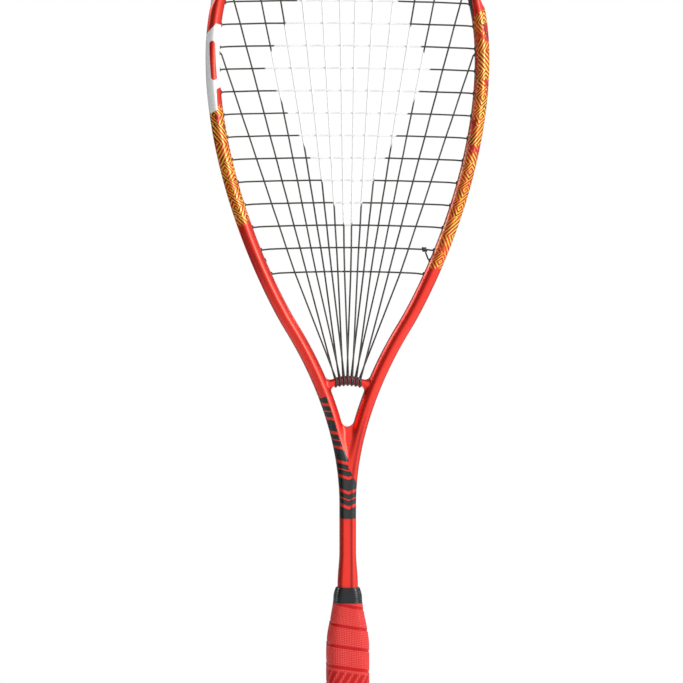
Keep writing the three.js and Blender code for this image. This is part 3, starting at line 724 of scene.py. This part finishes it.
def frame_ring(s):
    """One ring of the frame's skin: points and their place round the section."""
    centre, normal = at_run(s)[0], out_at(s)[0]
    z = centre[1]
    low, merged = inner_limit(centre, normal)
    flare = SHAFT_FLARE * smooth((SHAFT_FLARE_Z[0] - z) / (SHAFT_FLARE_Z[0] - SHAFT_FLARE_Z[1]))
    wide = HALF_W + flare
    u = np.where(FRONT_T < 0, -FRONT_T * low, FRONT_T * wide)
    groove = smooth((run_at_z(GROOVE_END_Z) - s) / 1.5) * GROOVE_DEPTH
    top = min(seat_level(z), wide) if z > BUMPER_FEATHER_Z else wide
    planar = centre + u[:, None] * normal
    h = frame_height(planar, u * HALF_W / wide, centre[0] + wide) * depth_scale(z)
    clipped = np.minimum(u, top)
    planar = centre + clipped[:, None] * normal
    floor = min(wide - groove, top)
    edge = h[-1]
    half_wall = np.array([0.8 * edge, GROOVE_HALF + 0.15, GROOVE_HALF])
    y_outer = np.concatenate([-half_wall, [0], half_wall[::-1]])
    u_outer = np.array([top, top, floor, floor, floor, top, top])
    outer = centre + u_outer[:, None] * normal
    inner = np.repeat((centre + low * normal)[None, :], 3, 0)
    y_inner = np.array([0.6, 0, -0.6]) * h[0]
    xz = np.vstack([planar, outer, planar[::-1], inner])
    y = np.concatenate([-h, y_outer, h[::-1], y_inner])
    points = np.stack([xz[:, 0], y, xz[:, 1]], 1)
    if merged:
        points[np.r_[0, -4:0], 0] = 0
    if s < 0.01:
        points[:, 0] = 0
    face = u + HALF_W
    wall = 2 * HALF_W + edge - np.abs(y_outer)
    across = np.concatenate([face, wall, face[::-1], np.zeros(3)])
    return points, across, merged


def frame_skin():
    """Both tubes with the shaft as one shape, and each face's (run, across) skin coordinates."""
    runs = station_runs()
    rings = [frame_ring(s) for s in runs]
    around = len(rings[0][0])
    wall = range(around - 4, around)
    verts, faces, uvs = [], [], []
    last = len(runs) - 1
    for side in (1, -1):
        start = len(verts)
        shift = 0.0 if side > 0 else LEFT
        for points, _, _ in rings:
            verts += list(points * np.array([side, 1, 1]))
        quads = []
        for i in range(last):
            for j in range(around):
                if rings[i][2] and rings[i + 1][2] and j in wall:
                    continue
                k = (j + 1) % around
                quads.append(((i, j), (i, k), (i + 1, k), (i + 1, j)))
        foot = [(last, j) for j in range(around - 3)]
        for face in [*quads, foot]:
            faces.append(tuple(start + a * around + b for a, b in face))
            uvs.append([(runs[a] * MM + shift, rings[a][1][b] * MM) for a, b in face])
    return (verts, faces), uvs


def bridge_levels(x):
    """Lower and upper edge of the bridge and its half depth at x."""
    centre = BRIDGE_TOP_Z - BRIDGE_THICK / 2 - BRIDGE_SAG * (abs(x) / 14) ** 2
    half = BRIDGE_THICK / 2 - 0.3
    return centre - half, centre + half, BRIDGE_HALF_D - 0.6


BRIDGE_POWER = 2 / 2.7


def bridge_section(angle):
    """Signed depth and height shares of the bridge's rounded section."""
    c, s = math.cos(angle), math.sin(angle)
    return math.copysign(abs(c) ** BRIDGE_POWER, c), math.copysign(abs(s) ** BRIDGE_POWER, s)


def bridge_point(x, shares, levels=bridge_levels):
    low, top, deep = levels(x)
    return vec(x, (top + low) / 2 + (top - low) / 2 * shares[1], deep * shares[0])


def arm_face(y, z):
    """Where a line along X at (y, z) meets the inner side of the right arm."""
    x = np.arange(6.0, 34.0, 0.05)
    near = LINE[np.abs(LINE[:, 1] - z) < 25][::2]
    far = nearest(np.stack([x, np.full_like(x, z)], 1), near)
    solid = (far < HALF_W) & (ridge_height(far) * depth_scale(z) > abs(y))
    return float(x[np.argmax(solid)])


FILLET_TOP = 5.6
FILLET_LOW = 3.6
FILLET_SIDE = 1.0


def filleted_bridge():
    """Half rings out to the arm, each flaring along the arm's face; mirrored for the left."""
    count, flare = 14, 8
    columns = []
    for angle in full_turn(40):
        a, b = bridge_section(angle)
        start = bridge_point(14.0, (a, b))
        hit = arm_face(start[1], start[2])
        corner = bridge_point(hit, (a, b))
        grow = FILLET_TOP if b > 0 else FILLET_LOW
        wide = vec(0, corner[2] + grow * b, corner[1] + FILLET_SIDE * a)
        wide[0] = arm_face(wide[1], wide[2]) + 0.12
        reach = max(min(grow * abs(b), 4.6), FILLET_SIDE * abs(a) * 2.4, 1.6)
        begin = bridge_point(hit - reach, (a, b))
        column = [bridge_point(x, (a, b)) for x in np.linspace(0, hit - reach, count)]
        for t in np.linspace(0, 1, flare + 1)[1:]:
            column.append((1 - t) ** 2 * begin + 2 * t * (1 - t) * corner + t * t * wide)
        column.append(wide + vec(1.2, 0, 0))
        columns.append(column)
    half = [[column[i] for column in columns] for i in range(len(columns[0]))]
    return skin([mirror_x(ring) for ring in half[:0:-1]] + half)


def build_frame():
    shape, uvs = frame_skin()
    tube_obj = finish_mesh("frame_tube", shape, "frame_lacquer", uvs=uvs, sharp=50)
    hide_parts("hoop_tube", "shaft_tube")
    shape = filleted_bridge()
    plain_place = [[(0.1, 0.003)] * len(face) for face in shape[1]]
    bridge = finish_mesh("throat_bridge_skin", shape, "frame_lacquer", uvs=plain_place)
    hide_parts("throat_bridge")


SADDLE_HALF = 9.4
SADDLE_LOOPS = 9.2
SADDLE_THICK = 0.45


def saddle_levels(x):
    """The bridge's levels with the saddle round it, dented by each loop of string."""
    low, top, deep = bridge_levels(x)
    from_loop = x - LOOP_PITCH * round(x / LOOP_PITCH)
    dip = 0.38 * math.exp(-(from_loop / 0.62) ** 2) if abs(x) < SADDLE_LOOPS else 0
    end = 0.35 * max(0, abs(x) - SADDLE_LOOPS) / 0.4
    grow = SADDLE_THICK - dip - end
    return low - grow, top + grow, deep + grow


def build_sleeve():
    shares = [bridge_section(angle) for angle in full_turn(32)]
    rings = [[bridge_point(x, share, saddle_levels) for share in shares]
             for x in np.linspace(-SADDLE_HALF, SADDLE_HALF, 121)]
    sleeve = finish_mesh("bridge_saddle", skin(rings), "sleeve_maroon")
    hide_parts("bridge_sleeve")


# ---- Bumper and grommets ----


def sweep_rings(section, runs, shaped=lambda y, u, z: (y, u)):
    """Rings of a [y, u] section along the rail, right side then left, over the top."""
    rings = []
    for s in runs:
        sign = 1 if s >= 0 else -1
        z = at_run(abs(s))[0][1]
        ring = []
        for corner in section:
            y, u = shaped(*corner, z)
            p = rail(abs(s), u)
            ring.append(np.array([sign * p[0], y, p[2]]))
        rings.append(ring)
    return rings


STRIP_LOW = 2.5
STRIP_TOP = 3.4
BUMPER_TOP = 5.4


def feathered(y, u, z):
    """Thins the guard towards its ends, where it sinks into the tube."""
    full = float(smooth((z - BUMPER_FEATHER_Z) / 11))
    side = max(abs(y) - 2.2, 0)
    y = math.copysign(min(abs(y), 2.2) + side * (0.5 + 0.5 * full), y)
    return y, STRIP_LOW + (u - STRIP_LOW) * (0.7 + 0.3 * full)


BUMPER_HALF_SECTION = [(7.6, 2.5), (7.8, 3.0), (7.6, 3.7), (7.0, 4.45), (6.1, 5.05), (5.0, 5.38),
                       (4.0, BUMPER_TOP), (3.0, 5.3), (2.45, 4.9), (2.15, 4.2),
                       (2.05, STRIP_TOP + 0.05), (1.6, STRIP_TOP)]


def build_bumper():
    section = BUMPER_HALF_SECTION + [(-y, u) for y, u in reversed(BUMPER_HALF_SECTION)]
    end = run_at_z(BUMPER_FEATHER_Z)
    runs = np.concatenate([np.linspace(end, end - 14, 16)[:-1], np.linspace(end - 14, 0, 66)])
    runs = np.concatenate([runs, -runs[::-1][1:]])
    guard = finish_mesh("bumper_guard_skin", skin(sweep_rings(section, runs, feathered)),
                        "guard_white")
    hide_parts("bumper_guard")


STRIP_SECTION = [(-2.0, STRIP_LOW), (-2.0, 3.2), (-1.8, STRIP_TOP),
                 (1.8, STRIP_TOP), (2.0, 3.2), (2.0, STRIP_LOW)]


def build_strips():
    top = run_at_z(BUMPER_END_Z) + 0.5
    rings = sweep_rings(STRIP_SECTION, np.linspace(top, run_at_z(GROOVE_END_Z) - 2.5, 90))
    for name, sign in (("right", 1), ("left", -1)):
        parts = [skin([mirror_x(ring, sign) for ring in rings])]
        parts += [barrel(hole, sign) for hole in HOLES if hole["run"] > top]
        strip = finish_mesh("grommet_band_" + name, joined(parts), "grommet_dark")
        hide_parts("grommet_strip_" + name)
    parts = [barrel(hole, sign) for hole in HOLES if hole["run"] <= top for sign in (1, -1)]
    finish_mesh("bumper_barrels", joined(parts), "grommet_dark")


# Radius and distance out from the centreline round a barrel's rim.
BARREL_PROFILE = [(1.55, -4.0), (1.5, -5.2), (1.42, -5.42), (1.25, BARREL_IN), (1.0, -5.42),
                  (0.9, -5.2), (0.86, -4.6)]


def barrel(hole, sign):
    """The rim of a grommet barrel where it stands out of the tube's inner wall."""
    side = np.cross(hole["direction"], THROUGH)
    rings = []
    for radius, u in BARREL_PROFILE:
        centre = along_hole(hole, u)
        rings.append(mirror_x([centre + radius * spoke(a, side) for a in full_turn(14)], sign))
    return skin(rings)


# ---- String layout ----


def cross_level(row):
    return CROSS_FIRST_Z + (CROSS_FIRST_PITCH + (row - 1) * CROSS_PITCH if row else 0)


def cross_z(row, x, half):
    return cross_level(row) + CROSS_BOW * (0.5 - (x / half) ** 2)


def meet_rail(origin, direction, offset):
    """Distance along the rail where a line in the face plane crosses it."""
    runs = np.arange(0, RUN[-1], 0.5)
    pts = at_run(runs) + offset * out_at(runs)
    gap = pts - np.array([origin[0], origin[2]])
    side = gap[:, 0] * direction[2] - gap[:, 1] * direction[0]
    ahead = gap[:, 0] * direction[0] + gap[:, 1] * direction[2] > 0
    flips = np.where((np.sign(side[:-1]) != np.sign(side[1:])) & ahead[:-1])[0]
    i = flips[0]
    share = side[i] / (side[i] - side[i + 1])
    return runs[i] + 0.5 * share


def make_hole(run, direction):
    return {"run": run, "place": rail(run, 0), "direction": direction / np.linalg.norm(direction)}


def normal_hole(z):
    run = run_at_z(z)
    n = out_at(run)[0]
    return make_hole(run, vec(n[0], n[1]))


def cross_hole(row):
    z = cross_level(row) - CROSS_BOW / 2
    return make_hole(run_at_z(z), vec(1, 0))


def main_hole(index):
    if index in OUTER_MAIN_ROWS:
        return normal_hole(cross_hole(OUTER_MAIN_ROWS[index])["place"][2] - OUTER_DROP)
    along = vec(MAIN_SLOPES[index], 1)
    run = meet_rail(vec(MAIN_FEET[index], CROSS_FIRST_Z), along, -HALF_W)
    return make_hole(run, along)


CROSS_HOLES = [cross_hole(row) for row in range(CROSS_COUNT)]
MAIN_HOLES = [main_hole(i) for i in range(len(MAIN_FEET))]
LOWER_TIE = normal_hole(CROSS_HOLES[0]["place"][2] + 8)
OUTER_TIE = normal_hole(CROSS_HOLES[12]["place"][2] + 5.5)
HOLES = CROSS_HOLES + MAIN_HOLES + [LOWER_TIE, OUTER_TIE]


def along_hole(hole, offset):
    """The place on a hole's axis at a distance out from the tube's centreline."""
    n = out_at(hole["run"])[0]
    facing = n[0] * hole["direction"][0] + n[1] * hole["direction"][2]
    return hole["place"] + hole["direction"] * (offset / facing)


def inside_end(hole):
    return along_hole(hole, BARREL_IN - 0.6)


TURN_REACH = 2.2
TURN_CLEAR = 3.2


def through(hole, towards, lane):
    """String from inside the head out through a hole and round into its lane of the groove."""
    corner = along_hole(hole, GROOVE_STRING)
    turn = rail(hole["run"] + towards, GROOVE_STRING) - rail(hole["run"], GROOVE_STRING)
    turn /= np.linalg.norm(turn)
    return [inside_end(hole), corner, corner + TURN_REACH * turn + vec(0, 0, lane)]


def groove_run(start, end, lane):
    """String out through one hole, along the groove and back in through the next."""
    towards = 1 if end["run"] > start["run"] else -1
    count = max(int(abs(end["run"] - start["run"]) / 2), 1)
    middle = []
    for s in np.linspace(start["run"], end["run"], count + 1)[1:-1]:
        p = rail(s, GROOVE_STRING, lane)
        gaps = [np.linalg.norm(p - rail(hole["run"], GROOVE_STRING)) for hole in (start, end)]
        if min(gaps) > TURN_CLEAR:
            middle.append(p)
    return through(start, towards, lane) + middle + through(end, -towards, lane)[::-1]


def main_x(index, z):
    foot, top = MAIN_FEET[index], inside_end(MAIN_HOLES[index])
    return foot + (top[0] - foot) * (z - CROSS_FIRST_Z + 3) / (top[2] - CROSS_FIRST_Z + 3)


def main_top(index):
    return inside_end(MAIN_HOLES[index])[2]


def over(index, side, row):
    """+1 where a main passes behind a cross, -1 where it passes in front."""
    place = index if side > 0 else -1 - index
    return 1 if (place + row) % 2 == 0 else -1


def eased(marks, counts, place):
    """Points of a string that runs softly from each mark's height to the next one's."""
    points = []
    for (start, y0), (end, y1) in zip(marks, marks[1:]):
        for t in np.linspace(0, 1, counts(end - start), endpoint=False):
            points.append(place(start + (end - start) * t, y0 + (y1 - y0) * smooth(t)))
    return points


def main_stretch(index, side):
    """The woven part of a main from its foot to its hole, for the right or left side."""
    marks = []
    for row in range(CROSS_COUNT):
        level = cross_level(row)
        if level < main_top(index) - 1:
            z = cross_z(row, main_x(index, level), CROSS_HOLES[row]["place"][0])
            marks.append((z, WEAVE * over(index, side, row)))
    marks.append((main_top(index), 0.0))
    return eased(marks, lambda length: 5 if length > 8 else 3,
                 lambda z, y: vec(main_x(index, z), z, y))


LOOP_GAP = 0.72


def bridge_loop(x):
    """One turn round the bridge, from the front string down and up the back."""
    low, top, deep = bridge_levels(x)
    points = []
    for angle in np.linspace(math.radians(20), math.radians(-200), 23):
        a, b = bridge_section(angle)
        z = (low + top) / 2 + ((top - low) / 2 + LOOP_GAP) * b
        points.append(vec(x, z, -(deep + LOOP_GAP) * a))
    return points


def main_half(side):
    """Half of the main string from its middle to its knot, as points on the right."""
    lane = side * GROOVE_LANE
    last = len(MAIN_HOLES) - 1
    points = main_stretch(0, side) + groove_run(MAIN_HOLES[0], MAIN_HOLES[1], lane)
    for i in range(1, last, 2):
        points += main_stretch(i, side)[::-1]
        points += [p * np.array([1, side, 1]) for p in bridge_loop(LOOP_PITCH * (i + 1) / 2)]
        points += main_stretch(i + 1, side)
        if i + 1 < last:
            points += groove_run(MAIN_HOLES[i + 1], MAIN_HOLES[i + 2], lane)
    points += groove_run(MAIN_HOLES[last], OUTER_TIE, lane)
    return points + [knot_tail(OUTER_TIE, MAIN_KNOT)]


def main_route():
    return mirror_x(main_half(-1))[::-1] + bridge_loop(0) + main_half(1)


def cross_marks(row):
    """Crossings of one row from left to right as (x, y)."""
    level = cross_level(row)
    reached = [i for i in range(len(MAIN_HOLES)) if level < main_top(i) - 1]
    marks = [(-main_x(i, level), -WEAVE * over(i, -1, row)) for i in reversed(reached)]
    marks += [(main_x(i, level), -WEAVE * over(i, 1, row)) for i in reached]
    return marks


def cross_stretch(row):
    half = CROSS_HOLES[row]["place"][0]
    end = inside_end(CROSS_HOLES[row])[0]
    marks = [(-end, 0.0)] + cross_marks(row) + [(end, 0.0)]
    points = eased(marks, lambda length: max(4, int(length / 4)),
                   lambda x, y: vec(x, cross_z(row, x, half), y))
    return points[1:]


def cross_route():
    points = []
    for row in range(CROSS_COUNT - 1, -1, -1):
        side = 1 if row % 2 == 0 else -1
        end = CROSS_HOLES[row - 1] if row else LOWER_TIE
        turn = groove_run(CROSS_HOLES[row], end, -side * GROOVE_LANE)
        points += cross_stretch(row)[::side] + mirror_x(turn, side)
    return points + [knot_tail(LOWER_TIE, CROSS_KNOT)]


def knot_tail(hole, knot):
    start = inside_end(hole)
    return knot + (start - knot) * 0.25


def cross_knot_place():
    row = 1
    inner = cross_marks(row)[-1][0]
    x = inner + (inside_end(CROSS_HOLES[row])[0] - inner) * 0.68
    return vec(x, cross_z(row, x, CROSS_HOLES[row]["place"][0]), 0.15)


KNOT_MAIN = 5


def main_knot_place():
    z = main_top(KNOT_MAIN) - 5.0
    return vec(main_x(KNOT_MAIN, z), z)


CROSS_KNOT = cross_knot_place()
MAIN_KNOT = main_knot_place()


KNOT_TURNS = 2.6
KNOT_REACH = 1.22
KNOT_LENGTH = 2.9


def knot_body(centre, along, sign=1):
    """Tight turns of string round its host."""
    along = along / np.linalg.norm(along)
    side = np.cross(along, THROUGH)
    path = []
    for t in np.linspace(0, 1, 60):
        here = centre + along * (t - 0.5) * KNOT_LENGTH
        path.append(here + KNOT_REACH * spoke(2 * math.pi * KNOT_TURNS * t, side))
    return tube(mirror_x(path, sign), STRING_R * 0.97)


def build_strings():
    for name, route in (("main_string", main_route()), ("cross_string", cross_route())):
        string = finish_mesh(name + "_tube", tube(fillet(route), STRING_R), "string_black")
        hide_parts(name)
    low = finish_mesh("cross_knot_turns", knot_body(CROSS_KNOT, vec(1, 0)), "string_black")
    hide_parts("cross_knot")
    up = inside_end(MAIN_HOLES[KNOT_MAIN]) - MAIN_KNOT
    for name, sign in (("right", 1), ("left", -1)):
        turns = finish_mesh("main_knot_turns_" + name, knot_body(MAIN_KNOT, up, sign),
                            "string_black")
        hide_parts("main_knot_" + name)


# ---- Handle ----

HANDLE_POWER = 3.2


def oval(w, d, grow, theta):
    """Points of a rounded handle section at angles theta."""
    c, s = np.cos(theta), np.sin(theta)
    reach = (np.abs(c) ** HANDLE_POWER + np.abs(s) ** HANDLE_POWER) ** (-1 / HANDLE_POWER)
    return (w + grow) * reach * c, (d + grow) * reach * s


def oval_ring(z, w, d, grow=0, theta=full_turn(96)):
    x, y = oval(w, d, grow, theta)
    return np.stack([x, y, np.full_like(x, z)], 1)


def size_at(levels, z):
    heights, wide, deep = np.array(levels).T
    return np.interp(z, heights, wide), np.interp(z, heights, deep)


GRIP_LEVELS = [(4.9, 16.4, 15.2), (8, 16.3, 15.1), (12, 16.1, 14.9), (20, 15.6, 14.5),
               (28, 15.25, 14.1), (134, 15.2, 14.1), (140, 15.0, 14.0), (145, 14.4, 13.7),
               (150, 13.6, 13.2), (158, 11.9, 12.3), (164, 10.85, 11.6), (167.4, 10.35, 11.3)]
GRIP_THICK = 1.4
SEAM_DEEP = 0.32


def wrap_relief(phase):
    """Height of the wrap's face across one turn: a pressed seam, a lip and a slight crown."""
    seam = 1 - smooth((phase - 0.085) / 0.05) * smooth((1.0 - phase) / 0.025)
    lip = 0.14 * np.exp(-((phase - 0.95) / 0.03) ** 2)
    crown = 0.10 * np.sin(math.pi * phase)
    return -SEAM_DEEP * seam + lip + crown - 0.12


# Places across one turn of the wrap, close together at the seam and the lip.
WRAP_MARKS = np.array([0, 0.04, 0.085, 0.10, 0.115, 0.135, 0.18, 0.3, 0.5, 0.7, 0.85, 0.91, 0.94,
                       0.965, 0.98, 0.99])


def build_grip():
    low, high = GRIP_LEVELS[0][0], GRIP_LEVELS[-1][0]
    around = 120
    theta = full_turn(around)
    outline = np.stack(oval(15.2, 14.1, 0, np.append(theta, 2 * math.pi)), 1)
    steps = np.linalg.norm(np.diff(outline, axis=0), axis=1)
    girth = np.concatenate([[0], np.cumsum(steps)])
    turns = np.arange(-2, int((high - low) / WRAP_PITCH) + 3)
    rows = np.concatenate([turn + WRAP_MARKS for turn in turns])
    verts = []
    for row in rows:
        z = low + WRAP_OFFSET + WRAP_PITCH * (row - theta / (2 * math.pi))
        z = np.clip(z, low, high)
        fade = smooth((high - z) / 1.0) * smooth((z - low) / 2.0)
        relief = wrap_relief(row - math.floor(row)) * fade
        verts += list(oval_ring(z, *size_at(GRIP_LEVELS, z), relief, theta))
    faces, uvs = [], []
    per_turn = len(WRAP_MARKS)
    for i in range(per_turn, len(rows) - 1):
        for j in range(around):
            back = per_turn if j + 1 == around else 0
            k = (j + 1) % around
            quad = [i * around + j, (i - back) * around + k,
                    (i + 1 - back) * around + k, (i + 1) * around + j]
            heights = [verts[q][2] for q in quad]
            if max(heights) - min(heights) < 1e-6:
                continue
            faces.append(tuple(quad))
            uvs.append([(girth[j + step] * MM, rows[i + up] * WRAP_PITCH * MM)
                        for step, up in ((0, 0), (1, 0), (1, 1), (0, 1))])
    close_wrap(verts, faces, uvs, theta, low, high)
    grip = finish_mesh("grip_wrap", (verts, faces), "grip_red", uvs=uvs)
    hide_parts("grip_tape")


def close_wrap(verts, faces, uvs, theta, low, high):
    """Ends and inner wall of the grip, so the wrap has its real thickness."""
    start = len(verts)
    levels = ((high, 0), (high, -0.5), (high, -GRIP_THICK), (low, -GRIP_THICK), (low, 0))
    for z, inset in levels:
        verts += list(oval_ring(z, *size_at(GRIP_LEVELS, z), inset, theta))
    made = ring_faces(len(levels), len(theta))
    faces += [tuple(start + i for i in face) for face in made]
    uvs += [[(0.0, 0.5 * WRAP_PITCH * MM)] * 4 for _ in made]


COLLAR_OUTER = [(167.45, 10.0, 11.6), (167.8, 10.2, 11.8), (172.2, 10.0, 11.6),
                (173.2, 9.85, 11.4), (175.0, 9.45, 11.0), (176.2, 9.1, 10.7), (177.1, 8.75, 10.35),
                (177.8, 8.45, 10.05), (178.15, 8.2, 9.85), (178.3, 7.95, 9.65)]
COLLAR_INNER = [(178.3, 7.4, 9.05), (178.0, 7.15, 8.8), (177.0, 7.1, 8.75), (176.0, 8.6, 10.0),
                (175.8, 9.0, 10.35), (167.7, 9.25, 10.7), (167.45, 9.4, 10.85)]
RIB_PITCH = 1.28
RIB_DEEP = 0.2


def build_collar():
    heights = np.arange(167.6, 177.8, RIB_PITCH / 8)
    rings = []
    for z in np.unique(np.concatenate([heights, np.array(COLLAR_OUTER)[:, 0]])):
        wave = 0.5 + 0.5 * math.cos(2 * math.pi * (z - 168.3) / RIB_PITCH)
        fade = float(smooth((z - 168.0) / 0.4) * smooth((177.3 - z) / 0.8))
        rings.append(oval_ring(z, *size_at(COLLAR_OUTER, z), -RIB_DEEP * wave ** 3 * fade))
    rings += [oval_ring(*level) for level in COLLAR_INNER]
    collar = finish_mesh("collar_sleeve", skin(rings, closed_along=True), "collar_rubber",
                         body="collar")
    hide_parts("rubber_collar")


TAPE_LEVELS = [(168.2, 8.45, 9.7), (168.2, 8.85, 10.1), (168.5, 8.95, 10.2), (171.6, 8.85, 10.1),
               (171.75, 8.72, 10.0), (171.9, 8.82, 10.05), (175.1, 8.65, 9.9), (175.4, 8.55, 9.8),
               (175.4, 8.1, 9.4)]
TAPE_SEAM_Z = (171.0, 172.2)


def build_finishing_tape():
    rings = [oval_ring(*level) for level in TAPE_LEVELS]
    for ring in rings:
        if TAPE_SEAM_Z[0] < ring[0, 2] < TAPE_SEAM_Z[1]:
            ring[:, 2] += 0.5 * ring[:, 0] / 9
    tape = finish_mesh("finishing_band", skin(rings, closed_along=True), "tape_black")
    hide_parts("finishing_tape")


CAP_LEVELS = [(0.35, 0.05, 0.05), (0.35, 8.0, 7.0), (0.35, 9.6, 8.6), (0.0, 10.0, 9.0),
              (0.0, 14.2, 13.0), (0.15, 14.9, 13.7), (0.6, 15.5, 14.3), (1.4, 15.95, 14.75),
              (2.4, 16.2, 15.0), (3.9, 16.2, 15.0), (4.2, 16.05, 14.85), (4.35, 15.6, 14.4),
              (4.4, 13.6, 12.6), (23.2, 13.5, 12.5), (23.6, 13.2, 12.2), (23.6, 12.6, 11.6)]


def build_butt_cap():
    cap = finish_mesh("butt_cap_shell", skin([oval_ring(*level) for level in CAP_LEVELS]),
                      "cap_black")
    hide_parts("butt_cap")


def dress_nodes():
    """Detailed materials on the solids that are shown as they are."""
    for node, slot in (("pallet_right", "handle_foam"), ("pallet_left", "handle_foam"),
                       ("staple_front", "staple_steel"), ("staple_back", "staple_steel")):
        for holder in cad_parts[node].material_slots:
            holder.material = MATERIALS[slot]


# ---- Camera, light and floor ----

LOOK_AT = (-0.0044, 0.0, 0.3527)
CAMERA_TURN = math.radians(-4.5)
CAMERA_AWAY = 2.5
FIELD = 0.485
LAMPS_AIM = (0, 0, 0.4)
FLOOR_RADIUS = 0.95

# Light from each direction: degrees clockwise from the front, seen from above.
SKY = [(-180, 0.20), (-125, 0.06), (-85, 0.02), (-64, 0.06), (-46, 0.40), (-30, 1.1), (-12, 1.15),
       (8, 1.05), (20, 0.65), (34, 0.6), (56, 1.0), (102, 1.2), (124, 0.28), (180, 0.20)]
SKY_STRENGTH = 0.8


def aim(obj, target):
    direction = np.array(target) - np.array(obj.location)
    obj.rotation_euler = Vector(direction).to_track_quat("-Z", "Y").to_euler()


def softbox(name, place, size, power):
    light = bpy.data.lights.new(name, "AREA")
    light.shape = "RECTANGLE"
    light.size, light.size_y = size
    light.energy = power
    lamp = add_object(name, light)
    lamp.location = place
    lamp.visible_camera = False
    aim(lamp, LAMPS_AIM)


def studio_world():
    """White to the camera; as light, bright from the front and right, dim from the left."""
    world = bpy.data.worlds.new("studio_light")
    bpy.context.scene.world = world
    world.use_nodes = True
    m = Graph(world.node_tree)
    x, y, _ = m.split(m.place("Generated"))
    share = m.ramp(m.math("ARCTAN2", x, y * -1), -math.pi, math.pi)
    sky = m.node("ShaderNodeValToRGB", {0: share})
    stops = sky.color_ramp.elements
    while len(stops) > 1:
        stops.remove(stops[-1])
    for i, (degrees, level) in enumerate(SKY):
        stop = stops[0] if i == 0 else stops.new((degrees + 180) / 360)
        stop.position = (degrees + 180) / 360
        stop.color = (level, level, level, 1)
    light = m.nodes["Background"]
    m.put(light.inputs["Strength"], SKY_STRENGTH)
    m.put(light.inputs["Color"], Wire(m, sky.outputs[0]))
    seen = m.wire("ShaderNodeLightPath", "Is Camera Ray", {})
    white = m.wire("ShaderNodeBackground", 0, {"Color": (1, 1, 1, 1)})
    both = m.wire("ShaderNodeMixShader", 0, {0: seen, 1: Wire(m, light.outputs[0]), 2: white})
    m.put(m.nodes["World Output"].inputs[0], both)


def studio():
    bpy.context.scene.view_settings.view_transform = "Standard"
    paper = Shade("studio_paper")
    grain = paper.mix(paper.noise(300.0), rgb(244, 244, 244), rgb(248, 248, 248))
    paper.put(paper.nodes["Principled BSDF"].inputs["Base Color"], grain)
    paper.put(paper.nodes["Principled BSDF"].inputs["Roughness"], 0.9)
    floor = bpy.data.meshes.new("studio_floor")
    edge = [(FLOOR_RADIUS * math.cos(a), FLOOR_RADIUS * math.sin(a), -0.0005)
            for a in full_turn(96)]
    floor.from_pydata(edge, [], [tuple(range(len(edge)))])
    floor.materials.append(paper.material)
    add_object("studio_floor", floor)

    studio_world()
    softbox("key", (1.6, -1.3, 1.3), (0.7, 1.8), 38)
    softbox("rear_left", (-2.0, 1.3, 1.7), (1.0, 1.0), 18)
    softbox("rear_right", (1.6, 1.6, 1.9), (0.8, 0.8), 14)

    camera = bpy.data.cameras.new("camera")
    camera.lens = camera.sensor_width * CAMERA_AWAY / FIELD
    eye = add_object("camera", camera)
    eye.location = (LOOK_AT[0] + CAMERA_AWAY * math.sin(CAMERA_TURN),
                    -CAMERA_AWAY * math.cos(CAMERA_TURN), LOOK_AT[2])
    aim(eye, LOOK_AT)
    bpy.context.scene.camera = eye


# ---- Everything together ----

build_frame()
build_sleeve()
build_bumper()
build_strips()
build_strings()
build_grip()
build_collar()
build_finishing_tape()
build_butt_cap()
dress_nodes()
studio()
